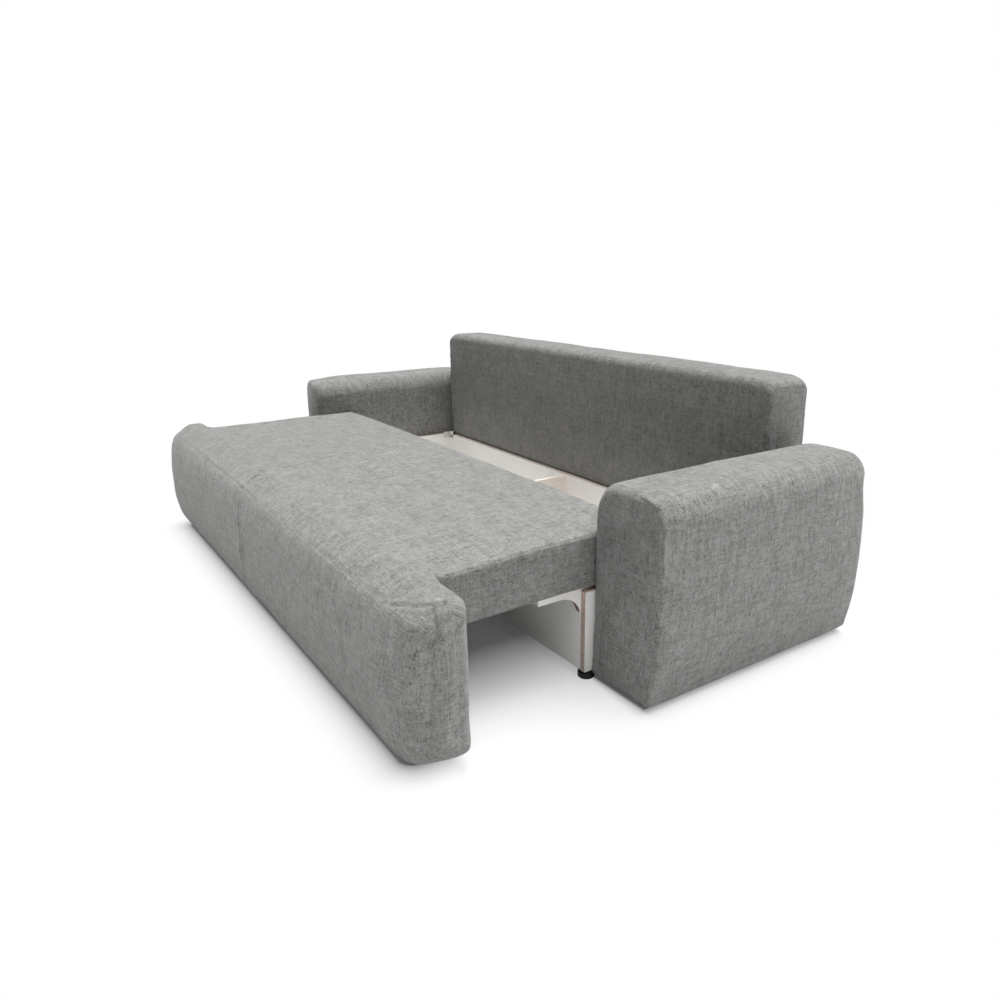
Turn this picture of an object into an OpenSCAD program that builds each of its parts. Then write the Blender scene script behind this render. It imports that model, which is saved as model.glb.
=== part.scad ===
// Pull-out sofa bed: the seat unit rolls forward on castors and the backrest
// folds down over the bedding box to make the bed. Drawn with the seat pulled
// out and the backrest upright. Millimetres, +Z up, front of the sofa at -Y.

/* [Seat] */
// Width of the seat cushion
seat_w = 2000; // [1400:10:2200]
// Depth of the seat cushion behind the front panel
seat_d = 645; // [560:5:760]
// Thickness of the seat from its underside to the edge of its crown
seat_t = 150; // [115:1:190]
// Height of the crown over the middle of the seat
seat_crown = 8; // [4:1:18]
// Radius of the seat's padded edges
seat_edge_r = 20; // [14:1:40]
// Space left behind the seat when it is pushed in
seat_rear_space = 63; // [40:1:90]
// Height of the timber rails under the seat
seat_rail_h = 40; // [30:1:50]
// Width of the timber rails in the seat, the panel and the backrest
rail_w = 30; // [22:1:40]
// Thickness of the padding over the sides of the seat
side_padding = 12; // [8:1:16]

/* [Front panel] */
// Width of the padded front panel
panel_w = 2344; // [1700:2:2560]
// Thickness of the front panel through its crown
panel_t = 148; // [130:1:180]
// Height of the front panel's top above the floor
panel_top = 428; // [380:1:460]
// Gap between the front panel and the floor
panel_floor_gap = 27; // [20:1:32]
// How far the crown stands out over the front of the panel
panel_crown = 18; // [6:1:22]
// Radius of the panel's padded edges
panel_edge_r = 70; // [40:1:78]
// Depth of the timber core in the panel
panel_core_d = 81; // [74:1:86]

/* [Backrest] */
// Height of the backrest above the bedding box
back_h = 502; // [440:1:560]
// Thickness of the backrest through both crowns
back_t = 185; // [160:1:210]
// Narrowing of the backrest at each end, from the width of the seat
back_inset = 10; // [8:1:20]
// How far the crown stands out over each face of the backrest
back_crown = 12; // [6:1:16]
// Thickness of the padding over each face of the backrest
back_padding = 26; // [22:1:34]
// Thickness of the padding over the ends of the backrest
back_end_padding = 30; // [26:1:40]
// Radius of the backrest's padded edges
back_edge_r = 32; // [28:1:40]
// Gap left between the folded backrest and the pulled-out seat
fold_gap = 6; // [3:1:20]
// How far the backrest stands out behind the box
back_overhang = 38; // [20:1:60]

/* [Arms] */
// Width of each arm through its crown
arm_w = 256; // [180:1:320]
// Depth of each arm
arm_d = 822; // [760:1:860]
// Height of the arm's top edge above the floor
arm_h = 566; // [500:1:640]
// How far the crown stands out over the outer side of the arm
arm_side_crown = 16; // [4:1:18]
// How far the crown stands out over the front of the arm
arm_front_crown = 10; // [4:1:16]
// How far the crown stands out over the top and the back of the arm
arm_top_crown = 14; // [4:1:20]
// Radius of the arm's padded edges
arm_edge_r = 34; // [28:1:46]
// How much each side of the arm draws in towards the floor
arm_taper = 12; // [0:1:20]
// Gap between the arm and the floor
arm_floor_gap = 24; // [18:1:34]
// Thickness of the padding over the arm's boards
arm_padding = 30; // [22:1:40]

/* [Bedding box] */
// Height of the top of the side boards above the floor
box_top = 266; // [230:1:300]
// Thickness of the laminated boards
board_t = 18; // [15:1:22]
// How far the side boards stand out in front of the arms
board_reveal = 29; // [18:1:36]
// Gap between each side of the seat and the arm beside it
seat_side_gap = 4.5; // [3:0.5:8]
// Space between the top of the side boards and the seat above them
seat_over_box = 8; // [4:1:16]
// Thickness of the hardboard panels
panel_board_t = 4; // [3:0.5:6]
// Height of the bottom panel above the floor
box_floor = 46; // [40:1:60]
// Width of the pine blocks in the corners of the box
block_w = 28; // [22:1:36]

/* [Slide] */
// How far the guide rail reaches out in front of the side boards
guide_reach = 139; // [100:1:180]
// Height of the slim front arm of the guide rail
guide_arm_h = 19; // [15:1:28]
// Radius of the hollow cut under the guide rail's arm
guide_hollow_r = 68; // [45:1:70]
// Height of the guide rail's hook, from the seat down to the runner
guide_hook_h = 144; // [130:1:155]
// Depth of the notch in the front wall that the guide rail runs through
guide_notch_h = 102; // [92:1:112]
// Width of the pine runner under each guide rail
runner_w = 25; // [22:1:32]
// Sliding clearance beside the guide rail
slide_gap = 2; // [1:0.5:4]

/* [Castors] */
// Radius of the castor wheels
wheel_r = 20; // [16:1:20]
// Width of the castor wheels
wheel_w = 18; // [12:1:24]
// Radius of the castor axles
axle_r = 3; // [2:0.5:4]
// Distance from each end of the panel to its outer castor
castor_end_inset = 162; // [100:2:300]
// Distance between the two castors on each side of the panel
castor_spacing = 650; // [400:10:650]
// Thickness of the steel in the castor forks
fork_t = 2; // [1.5:0.5:3]

/* [Backrest pivots] */
// Radius of the pivot pins
pivot_r = 5; // [3:0.5:7]
// Thickness of the steel pivot plates
plate_t = 3; // [2:0.5:4]
// Radius of the round ear of the pivot plates
ear_r = 14; // [12:1:16]
// Length of the moving plate up the end of the backrest
lever_h = 110; // [80:1:140]

/* [Feet] */
// Radius of the round plastic feet
foot_r = 24; // [18:1:28]
// Height of the plastic feet under the box
foot_h = 28; // [22:1:34]

/* [Fasteners] */
// Radius of the bolts that hold the arms
bolt_r = 4; // [3:0.5:5]
// Radius of the bolt heads
bolt_head_r = 9; // [7:0.5:12]
// Radial clearance of a shaft that turns in its hole
running_gap = 0.05; // [0.02:0.01:0.09]

/* [Seams] */
// Place of the seam in the seat and the panel, from the middle of the sofa
seam_x = -80; // [-200:10:200]
// Depth of the seam's channel
seam_depth = 7; // [3:1:10]
// Width of the seam's channel on each side of the stitching
seam_reach = 16; // [12:1:24]

/* [Hidden] */

$fn = 64;
touch_gap = 0.3;
past = 60;
arc_steps = 3;
end_crown = 8;
small_crown = 5;
pin_head_t = 3;
pin_rim = 3;

// Widths, measured from the middle of the sofa
seat_half = seat_w / 2;
arm_x = seat_half + seat_side_gap;
side_x = arm_x - board_t;
guide_x = side_x - slide_gap;
runner_x = side_x - runner_w;
back_half = seat_half - back_inset;
lever_x = back_half - back_end_padding;

// Depths, measured from the front of the arms
box_front = -board_reveal;
wall_inner = box_front + slide_gap + board_t;
seat_travel = back_h + fold_gap - seat_rear_space;
seat_front = box_front - 1 - seat_travel;
seat_rear = seat_front + seat_d;
hinge_y = seat_rear + fold_gap + back_h;
box_rear = hinge_y + back_t - back_overhang;
panel_front = seat_front - panel_t;
mid_y = (panel_front + hinge_y + back_t) / 2;

// Heights
seat_base = box_top + seat_over_box;
deck_z = seat_base + seat_rail_h;
seat_edge_top = seat_base + seat_t;
hinge_z = box_top - panel_board_t - touch_gap * 2;
rest_z = hinge_z - touch_gap;
batten_h = box_floor - foot_h;
box_floor_top = box_floor + panel_board_t;
guide_hook_z = seat_base - guide_hook_h;
notch_z = seat_base - guide_notch_h;
runner_base = guide_hook_z - block_w;
bolt_z = (box_floor_top + runner_base) / 2;

wood = [0.80, 0.66, 0.52];
laminate = [0.87, 0.86, 0.84];
hardboard = [0.55, 0.40, 0.27];
cloth = [0.50, 0.50, 0.49];
steel = [0.10, 0.10, 0.11];
black_plastic = [0.03, 0.03, 0.03];
zinc = [0.62, 0.63, 0.65];

// Moves a piece so that the middle of the sofa's floor area is the origin
module placed() {
    translate([0, -mid_y, 0]) children();
}

// A rectangular board between two corners
module slab(low, high) {
    translate(low) cube(high - low);
}

// A piece and its mirror image on the other side of the sofa
module both_sides() {
    children();
    mirror([1, 0, 0]) children();
}

// A round rod along X
module rod_x(x, y, z, r, length) {
    translate([x, y, z]) rotate([0, 90, 0]) cylinder(r = r, h = length);
}

// Padded forms: a box with rounded edges whose faces swell to a crown.
// Its surface is a grid of lines over the six faces, closer over the edges.
function clamped(value, limit) = max(-limit, min(limit, value));
function fade(t) = 1 - pow(abs(min(1, abs(t))), 4);
function edge_lines(half, r) = [for (i = [0:arc_steps]) half - r + r * tan(45 * i / arc_steps)];
function even_lines(half, r, count) =
    [for (i = [1:count - 1]) (half - r) * (2 * i / count - 1)];
function grid_lines(half, r, middle) = let (edge = edge_lines(half, r))
    concat([for (i = [arc_steps:-1:0]) -edge[i]], middle, edge);

function rounded(p, half, r) =
    let (inner = [for (a = [0:2]) clamped(p[a], half[a] - r)], out = p - inner)
    inner + r * out / norm(out);

function crowned(p, half, low_crown, high_crown) =
    let (u = [for (a = [0:2]) p[a] / half[a]])
    [for (a = [0:2]) p[a] + (u[a] > 0 ? high_crown[a] : low_crown[a]) * u[a]
        * fade(u[(a + 1) % 3]) * fade(u[(a + 2) % 3])];

// The channel of a sewn seam across the form at one place along X
function seamed(p, half, seam_x, depth, reach) =
    let (dip = depth * exp(-pow((p[0] - seam_x) / reach, 2)))
    [p[0], p[1] - dip * pow(abs(p[1] / half[1]), 3) * sign(p[1]),
        p[2] - dip * pow(abs(p[2] / half[2]), 3) * sign(p[2])];

// Sides that draw in towards the bottom of the form
function tapered(p, half, taper) =
    let (low = pow(max(0, 0.4 - p[2] / half[2]) / 1.4, 2))
    [p[0] - taper * low * clamped(p[0] / half[0], 1),
        p[1] - taper * low * clamped(p[1] / half[1], 1), p[2]];

function loop_place(i, nx, ny) =
    i <= nx ? [i, 0]
    : i <= nx + ny ? [nx, i - nx]
    : i <= 2 * nx + ny ? [2 * nx + ny - i, ny]
    : [0, 2 * (nx + ny) - i];

function loop_index(i, j, nx, ny) =
    j == 0 ? i
    : i == nx ? nx + j
    : j == ny ? 2 * nx + ny - i
    : 2 * (nx + ny) - j;

module padded_form(half, r, counts, low_crown, high_crown, taper = 0, seam_x = undef,
                   seam_depth = 0, seam_reach = 1) {
    seam_lines = [for (s = [-2:1:2]) seam_x == undef ? 0 : seam_x + s * seam_reach];
    even_x = even_lines(half[0], r, counts[0]);
    clear_x = [for (x = even_x) if (seam_x == undef || abs(x - seam_x) > 2.5 * seam_reach) x];
    left_x = [for (x = clear_x) if (seam_x == undef || x < seam_x) x];
    right_x = [for (x = clear_x) if (seam_x != undef && x > seam_x) x];
    middle_x = seam_x == undef ? even_x : concat(left_x, seam_lines, right_x);
    gx = grid_lines(half[0], r, middle_x);
    gy = grid_lines(half[1], r, even_lines(half[1], r, counts[1]));
    gz = grid_lines(half[2], r, even_lines(half[2], r, counts[2]));
    nx = len(gx) - 1;
    ny = len(gy) - 1;
    nz = len(gz) - 1;
    ring = 2 * (nx + ny);
    inner_count = (nx - 1) * (ny - 1);

    function shaped(p) =
        let (q = crowned(rounded(p, half, r), half, low_crown, high_crown),
             s = seam_x == undef ? q : seamed(q, half, seam_x, seam_depth, seam_reach))
        tapered(s, half, taper);
    function cap_point(i, j, k) =
        (i == 0 || j == 0 || i == nx || j == ny)
        ? (k == 0 ? 0 : nz * ring) + loop_index(i, j, nx, ny)
        : (nz + 1) * ring + (k == 0 ? 0 : inner_count) + (i - 1) * (ny - 1) + j - 1;

    sides = [for (k = [0:nz], n = [0:ring - 1]) let (c = loop_place(n, nx, ny))
        shaped([gx[c[0]], gy[c[1]], gz[k]])];
    caps = [for (k = [0, nz], i = [1:nx - 1], j = [1:ny - 1]) shaped([gx[i], gy[j], gz[k]])];
    walls = [for (k = [0:nz - 1], n = [0:ring - 1])
        let (a = k * ring + n, b = k * ring + (n + 1) % ring)
        each [[a, b + ring, b], [a, a + ring, b + ring]]];
    top = [for (i = [0:nx - 1], j = [0:ny - 1])
        let (a = cap_point(i, j, nz), b = cap_point(i + 1, j, nz),
             c = cap_point(i + 1, j + 1, nz), d = cap_point(i, j + 1, nz))
        each [[a, c, b], [a, d, c]]];
    bottom = [for (i = [0:nx - 1], j = [0:ny - 1])
        let (a = cap_point(i, j, 0), b = cap_point(i + 1, j, 0),
             c = cap_point(i + 1, j + 1, 0), d = cap_point(i, j + 1, 0))
        each [[a, b, c], [a, c, d]]];
    polyhedron(points = concat(sides, caps), faces = concat(walls, top, bottom));
}

// A padded form between two corners
module padded_between(low, high, r, counts, low_crown, high_crown, taper = 0,
                      seam_x = undef, seam_depth = 0, seam_reach = 1) {
    translate((low + high) / 2)
        padded_form((high - low) / 2, r, counts, low_crown, high_crown, taper,
                    seam_x, seam_depth, seam_reach);
}

// Bedding box
module side_board() {
    color(laminate)
        difference() {
            slab([side_x, box_front, foot_h], [arm_x, box_rear, box_top]);
            bolt_holes(side_x - 1, board_t + 2);
        }
}

module box_side_board_right() {
    placed() side_board();
}

module box_side_board_left() {
    placed() mirror([1, 0, 0]) side_board();
}

// The front wall, notched at both ends for the guide rails
module box_front_wall() {
    color(laminate) placed()
        difference() {
            slab([-side_x, wall_inner - board_t, foot_h], [side_x, wall_inner, rest_z]);
            both_sides()
                slab([guide_x - board_t - slide_gap, box_front - 1, notch_z - touch_gap],
                     [side_x + 1, wall_inner + 1, box_top]);
        }
}

// The space that the pivots need at each end of the rear wall and the ledge
module pivot_space() {
    around = 4;
    both_sides()
        slab([lever_x - pin_head_t - around, hinge_y - board_t - 1, hinge_z - ear_r - around],
             [side_x + 1, hinge_y + ear_r + around, box_top]);
}

module box_rear_wall() {
    color(laminate) placed()
        difference() {
            slab([-side_x, hinge_y - board_t, foot_h], [side_x, hinge_y, rest_z - board_t]);
            pivot_space();
        }
}

module box_partition() {
    color(wood) placed()
        slab([-board_t / 2, wall_inner, box_floor_top],
             [board_t / 2, hinge_y - board_t, rest_z]);
}

module box_bottom_panel() {
    color(hardboard) placed()
        difference() {
            slab([-side_x, wall_inner, box_floor],
                 [side_x, hinge_y - board_t, box_floor_top]);
            corner_squares(box_floor - 1, box_floor_top + 1, touch_gap);
        }
}

module box_bottom_battens() {
    color(wood) placed() {
        for (y = [wall_inner, (wall_inner + hinge_y) / 2 - board_t, hinge_y - 2 * board_t])
            slab([-side_x + block_w + touch_gap, y, foot_h],
                 [side_x - block_w - touch_gap, y + board_t, box_floor]);
    }
}

// The plan of the four corner blocks, with an allowance around it
module corner_squares(low_z, high_z, around) {
    both_sides() {
        slab([side_x - block_w - around, wall_inner - around, low_z],
             [side_x + around, wall_inner + block_w + around, high_z]);
        slab([side_x - block_w - around, hinge_y - board_t - block_w - around, low_z],
             [side_x + around, hinge_y - board_t + around, high_z]);
    }
}

module box_corner_blocks() {
    color(wood) placed()
        corner_squares(foot_h, runner_base - touch_gap, 0);
}

// The board behind the box that the upright backrest stands on
module rear_ledge() {
    color(wood) placed()
        difference() {
            slab([-side_x, hinge_y - board_t, rest_z - board_t],
                 [side_x, box_rear - panel_board_t, rest_z]);
            pivot_space();
        }
}

module rear_panel() {
    color(hardboard) placed()
        slab([-side_x, box_rear - panel_board_t, foot_h], [side_x, box_rear, rest_z]);
}

module runner() {
    color(wood)
        slab([runner_x, wall_inner, runner_base],
             [side_x, hinge_y - board_t, guide_hook_z - touch_gap]);
}

module runner_right() {
    placed() runner();
}

module runner_left() {
    placed() mirror([1, 0, 0]) runner();
}

// A round foot with a bevelled rim and a narrower neck
module foot(height) {
    bevel = 3;
    neck_r = foot_r - 5;
    rim_top = height * 0.6;
    rotate_extrude()
        polygon([[0, 0], [foot_r - bevel, 0], [foot_r, bevel], [foot_r, rim_top],
                 [neck_r, rim_top + bevel], [neck_r, height], [0, height]]);
}

module box_feet() {
    foot_in = foot_r + 4;
    color(black_plastic) placed() {
        both_sides()
            for (y = [box_front + foot_r + 1, hinge_y - foot_in, box_rear - foot_in])
                translate([side_x - foot_in / 2 + board_t / 2, y, 0]) foot(foot_h);
        for (y = [box_front + foot_r + 1, hinge_y - foot_in])
            translate([0, y, 0]) foot(foot_h);
    }
}

// Arms
arm_out = arm_x + arm_w - arm_side_crown;
arm_rear = arm_d;
arm_board_out = arm_out - arm_padding;
arm_board_in = arm_x + arm_padding;
arm_board_top = arm_h - arm_padding;
arm_base = arm_floor_gap + 2;
bolt_places = [for (share = [0.15, 0.4, 0.65]) [arm_d * share, bolt_z]];

module bolt_holes(x, length) {
    for (p = bolt_places)
        rod_x(x, p[0], p[1], bolt_r + touch_gap, length);
}

module arm_cover() {
    color(cloth)
        difference() {
            padded_between([arm_x, 0, arm_floor_gap - past], [arm_out, arm_rear, arm_h],
                           arm_edge_r, [2, 4, 5], [0, arm_front_crown, 0],
                           [arm_side_crown, arm_top_crown, arm_top_crown], arm_taper);
            slab([arm_x - past, -past, arm_floor_gap - 2 * past],
                 [arm_out + past, arm_rear + past, arm_floor_gap]);
            slab([arm_board_in - touch_gap, arm_padding - touch_gap, 0],
                 [arm_board_out + touch_gap, arm_rear - arm_padding + touch_gap,
                  arm_board_top + touch_gap]);
            bolt_holes(arm_x - 1, arm_padding + 2);
        }
}

module arm_cover_right() {
    placed() arm_cover();
}

module arm_cover_left() {
    placed() mirror([1, 0, 0]) arm_cover();
}

module arm_side_boards() {
    color(wood)
        difference() {
            for (x = [arm_board_in, arm_board_out - board_t])
                slab([x, arm_padding, arm_base],
                     [x + board_t, arm_rear - arm_padding, arm_board_top]);
            bolt_holes(arm_board_in - 1, board_t + 2);
        }
}

module arm_side_boards_right() {
    placed() arm_side_boards();
}

module arm_side_boards_left() {
    placed() mirror([1, 0, 0]) arm_side_boards();
}

// Upright boards across the inside of the arm, at its front, middle and back
module arm_cross_boards() {
    color(wood)
        for (y = [arm_padding, arm_rear / 2 - board_t / 2, arm_rear - arm_padding - board_t])
            slab([arm_board_in + board_t, y, arm_base + board_t],
                 [arm_board_out - board_t, y + board_t, arm_board_top]);
}

module arm_cross_boards_right() {
    placed() arm_cross_boards();
}

module arm_cross_boards_left() {
    placed() mirror([1, 0, 0]) arm_cross_boards();
}

module arm_bottom_board() {
    color(wood)
        slab([arm_board_in + board_t, arm_padding, arm_base],
             [arm_board_out - board_t, arm_rear - arm_padding, arm_base + board_t]);
}

module arm_bottom_board_right() {
    placed() arm_bottom_board();
}

module arm_bottom_board_left() {
    placed() mirror([1, 0, 0]) arm_bottom_board();
}

module arm_feet() {
    color(black_plastic) placed()
        both_sides()
            for (y = [arm_padding + 2 * foot_r, arm_rear - arm_padding - 2 * foot_r])
                translate([(arm_board_in + arm_board_out) / 2, y, 0])
                    foot(arm_base);
}

module arm_bolts() {
    head_t = 4;
    end_past_nut = 8;
    length = board_t + arm_padding + board_t + end_past_nut;
    color(zinc) placed()
        both_sides()
            for (p = bolt_places) {
                rod_x(side_x - head_t, p[0], p[1], bolt_head_r, head_t);
                rod_x(side_x - 1, p[0], p[1], bolt_r, length);
            }
}

// Backrest pivots
module at_hinge() {
    translate([0, hinge_y, hinge_z]) children();
}

// The outline of a steel plate with a round ear at the pivot
module plate_outline(length, angle) {
    circle(r = ear_r);
    rotate(angle) translate([0, -ear_r]) square([length, 2 * ear_r]);
}

// A plate in the YZ plane, from its outline with its first axis along Y
module plate_yz(thickness) {
    rotate([90, 0, 90]) linear_extrude(thickness) children();
}

// The fixed bracket: a plate on the side board with a boss for the pin
module pivot_bracket() {
    boss_r = pivot_r + pin_rim + 1;
    boss_x = lever_x + plate_t + touch_gap;
    color(steel) at_hinge()
        difference() {
            union() {
                translate([side_x - plate_t, 0, 0])
                    plate_yz(plate_t) plate_outline(lever_h / 2, 180);
                rod_x(boss_x, 0, 0, boss_r, side_x - plate_t / 2 - boss_x);
            }
            rod_x(boss_x - 1, 0, 0, pivot_r + running_gap, side_x - boss_x + 2);
        }
}

module pivot_bracket_right() {
    placed() pivot_bracket();
}

module pivot_bracket_left() {
    placed() mirror([1, 0, 0]) pivot_bracket();
}

module pivot_pins() {
    head_x = lever_x - touch_gap - pin_head_t;
    color(zinc) placed()
        both_sides()
            at_hinge() {
                rod_x(head_x, 0, 0, pivot_r + pin_rim, pin_head_t);
                rod_x(head_x + 1, 0, 0, pivot_r, side_x - touch_gap - head_x - 1);
            }
}

// Seat
seat_rail_out = seat_half - side_padding;
seat_rail_rear = seat_rear - side_padding;

module seat_cushion() {
    color(cloth) placed()
        difference() {
            padded_between([-seat_half + end_crown, seat_front - past, seat_base - past],
                           [seat_half - end_crown, seat_rear - small_crown, seat_edge_top],
                           seat_edge_r, [10, 4, 2], [end_crown, 0, 0],
                           [end_crown, small_crown, seat_crown],
                           0, seam_x, seam_depth, seam_reach);
            slab([-seat_w, seat_front - seat_d, 0], [seat_w, seat_front, panel_top + past]);
            slab([-seat_w, seat_front - 1, seat_base - 2 * past],
                 [seat_w, seat_rear + past, seat_base]);
            slab([-seat_rail_out - touch_gap, seat_front - 1, seat_base - 1],
                 [seat_rail_out + touch_gap, seat_rail_rear + touch_gap,
                  deck_z + panel_board_t + touch_gap]);
        }
}

module seat_long_rails() {
    color(wood) placed()
        for (y = [seat_front, seat_rail_rear - rail_w])
            slab([-seat_rail_out, y, seat_base], [seat_rail_out, y + rail_w, deck_z]);
}

module seat_cross_rails() {
    count = 5;
    step = (2 * seat_rail_out - rail_w) / (count - 1);
    color(wood) placed()
        for (i = [0:count - 1])
            slab([-seat_rail_out + i * step, seat_front + rail_w, seat_base],
                 [-seat_rail_out + i * step + rail_w, seat_rail_rear - rail_w, deck_z]);
}

module seat_deck() {
    color(hardboard) placed()
        slab([-seat_rail_out, seat_front, deck_z],
             [seat_rail_out, seat_rail_rear, deck_z + panel_board_t]);
}

// The dust cover stapled under the seat, between the guide rails
module seat_lining() {
    lining_t = 1;
    lining_x = guide_x - board_t - slide_gap;
    color([0.12, 0.12, 0.12]) placed()
        slab([-lining_x, seat_front + rail_w / 2, seat_base - lining_t],
             [lining_x, seat_rail_rear - rail_w / 2, seat_base]);
}

// The side guide rail: a slim arm in front of the box, a hollow curve, then a hook
// that stops behind the front wall and slides along the runner
module guide_rail() {
    tip = box_front - guide_reach;
    arm_z = seat_base - guide_arm_h;
    hook_y = wall_inner + touch_gap;
    color(laminate)
        translate([guide_x - board_t, 0, 0])
            plate_yz(board_t)
                difference() {
                    polygon([[tip, arm_z], [box_front - guide_hollow_r, arm_z],
                             [box_front - guide_hollow_r, arm_z - guide_hollow_r],
                             [box_front, arm_z - guide_hollow_r], [box_front, notch_z],
                             [hook_y, notch_z], [hook_y, guide_hook_z],
                             [seat_rail_rear, guide_hook_z], [seat_rail_rear, seat_base],
                             [tip, seat_base]]);
                    translate([box_front - guide_hollow_r, arm_z - guide_hollow_r])
                        circle(r = guide_hollow_r, $fn = 96);
                }
}

module guide_rail_right() {
    placed() guide_rail();
}

module guide_rail_left() {
    placed() mirror([1, 0, 0]) guide_rail();
}

// Front panel
panel_half = panel_w / 2;
core_front = seat_front - panel_core_d;
core_half = panel_half - panel_edge_r;
wheel_room = 4;
core_base = 2 * wheel_r + wheel_room + fork_t;
core_top = panel_top - side_padding * 2;

module panel_cover() {
    color(cloth) placed()
        difference() {
            padded_between([-panel_half + end_crown, panel_front + panel_crown,
                            panel_floor_gap],
                           [panel_half - end_crown, seat_front + past,
                            panel_top - small_crown],
                           panel_edge_r, [10, 2, 4], [end_crown, panel_crown, 0],
                           [end_crown, 0, small_crown],
                           0, seam_x, seam_depth, seam_reach);
            slab([-panel_w, seat_front, 0], [panel_w, seat_front + 2 * past, 2 * panel_top]);
            slab([-core_half - touch_gap, core_front - touch_gap, -1],
                 [core_half + touch_gap, seat_front + 1, core_top + touch_gap]);
        }
}

module panel_long_rails() {
    color(wood) placed()
        for (z = [core_base, seat_base, core_top - rail_w])
            slab([-core_half, core_front, z],
                 [core_half, seat_front - panel_board_t, z + rail_w]);
}

module panel_uprights() {
    count = 5;
    step = (2 * core_half - rail_w) / (count - 1);
    color(wood) placed()
        for (i = [0:count - 1], span = [[core_base + rail_w, seat_base],
                                        [seat_base + rail_w, core_top - rail_w]])
            slab([-core_half + i * step, core_front, span[0]],
                 [-core_half + i * step + rail_w, seat_front - panel_board_t, span[1]]);
}

module panel_back_board() {
    color(laminate) placed()
        slab([-core_half, seat_front - panel_board_t, panel_floor_gap],
             [core_half, seat_front, core_top]);
}

// Castors under the front panel
castor_y = (core_front + seat_front - panel_board_t) / 2;
castor_outer_x = panel_half - castor_end_inset;
castor_inner_x = castor_outer_x - castor_spacing;
castor_places = [-castor_outer_x, -castor_inner_x, castor_inner_x, castor_outer_x];
cheek_gap = 1.5;
cheek_x = wheel_w / 2 + cheek_gap;

module castor_forks() {
    cheek_half = 9;
    plate_half = 16;
    flange = 12;
    color(zinc) placed()
        for (x = castor_places)
            translate([x, castor_y, 0])
                difference() {
                    union() {
                        slab([-cheek_x - flange, -plate_half, core_base - fork_t],
                             [cheek_x + flange, plate_half, core_base]);
                        for (side = [-cheek_x - fork_t, cheek_x])
                            translate([side, 0, 0]) plate_yz(fork_t) {
                                translate([0, wheel_r]) circle(r = cheek_half);
                                translate([-cheek_half, wheel_r])
                                    square([2 * cheek_half, core_base - wheel_r - fork_t / 2]);
                            }
                    }
                    rod_x(-cheek_x - flange, 0, wheel_r, axle_r + running_gap,
                          2 * (cheek_x + flange));
                }
}

module castor_axles() {
    reach = cheek_x + fork_t + touch_gap;
    head_t = 1.7;
    head_r = axle_r + 1.5;
    color(zinc) placed()
        for (x = castor_places)
            translate([x, castor_y, wheel_r]) {
                rod_x(-reach - 1, 0, 0, axle_r, 2 * reach + 2);
                for (side = [-reach - head_t, reach])
                    rod_x(side, 0, 0, head_r, head_t);
            }
}

// A wheel with a tread, a hollow rim face and a hub
module castor_wheel(i) {
    bore_r = axle_r + running_gap;
    hub_r = axle_r + 3;
    rim_r = wheel_r - 5;
    hub_half = wheel_w / 2;
    rim_half = hub_half - 1;
    web_half = hub_half - 4;
    bevel = 2;
    color(black_plastic) placed()
        translate([castor_places[i], castor_y, wheel_r])
            rotate([0, 90, 0])
                rotate_extrude()
                    polygon([[bore_r, -hub_half], [hub_r, -hub_half],
                             [hub_r + 1, -web_half], [rim_r - 1, -web_half],
                             [rim_r, -rim_half], [wheel_r - bevel, -rim_half],
                             [wheel_r, -rim_half + bevel], [wheel_r, rim_half - bevel],
                             [wheel_r - bevel, rim_half], [rim_r, rim_half],
                             [rim_r - 1, web_half], [hub_r + 1, web_half],
                             [hub_r, hub_half], [bore_r, hub_half]]);
}

module castor_wheel_1() { castor_wheel(0); }
module castor_wheel_2() { castor_wheel(1); }
module castor_wheel_3() { castor_wheel(2); }
module castor_wheel_4() { castor_wheel(3); }

// Backrest
back_rail_half = lever_x - touch_gap;
back_core_front = hinge_y + back_padding;
back_core_rear = hinge_y + back_t - back_padding;
back_top = hinge_z + back_h;
back_core_top = back_top - back_padding;

module backrest_cushion() {
    color(cloth) placed()
        difference() {
            padded_between([-back_half + end_crown, hinge_y + back_crown, hinge_z - past],
                           [back_half - end_crown, hinge_y + back_t - back_crown,
                            back_top - small_crown],
                           back_edge_r, [8, 2, 4], [end_crown, back_crown, 0],
                           [end_crown, back_crown, small_crown]);
            slab([-seat_w, hinge_y - past, 0], [seat_w, hinge_y + back_t + past, hinge_z]);
            slab([-lever_x - plate_t - touch_gap, back_core_front - touch_gap, hinge_z - 1],
                 [lever_x + plate_t + touch_gap, back_core_rear + touch_gap,
                  back_core_top + touch_gap]);
            both_sides() {
                slab([back_rail_half, hinge_y - 1, hinge_z - 1],
                     [lever_x + plate_t + touch_gap, back_core_front + 1,
                      hinge_z + ear_r + touch_gap]);
                at_hinge()
                    rod_x(lever_x - pin_head_t - pin_rim, 0, 0, ear_r + 2, past);
            }
        }
}

module backrest_long_rails() {
    color(wood) placed()
        for (z = [hinge_z, back_core_top - rail_w])
            slab([-back_rail_half, back_core_front + panel_board_t, z],
                 [back_rail_half, back_core_rear, z + rail_w]);
}

module backrest_uprights() {
    count = 5;
    step = (2 * back_rail_half - rail_w) / (count - 1);
    color(wood) placed()
        for (i = [0:count - 1])
            slab([-back_rail_half + i * step, back_core_front + panel_board_t,
                  hinge_z + rail_w],
                 [-back_rail_half + i * step + rail_w, back_core_rear,
                  back_core_top - rail_w]);
}

module backrest_board() {
    color(hardboard) placed()
        slab([-back_rail_half, back_core_front, hinge_z],
             [back_rail_half, back_core_front + panel_board_t, back_core_top]);
}

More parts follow.
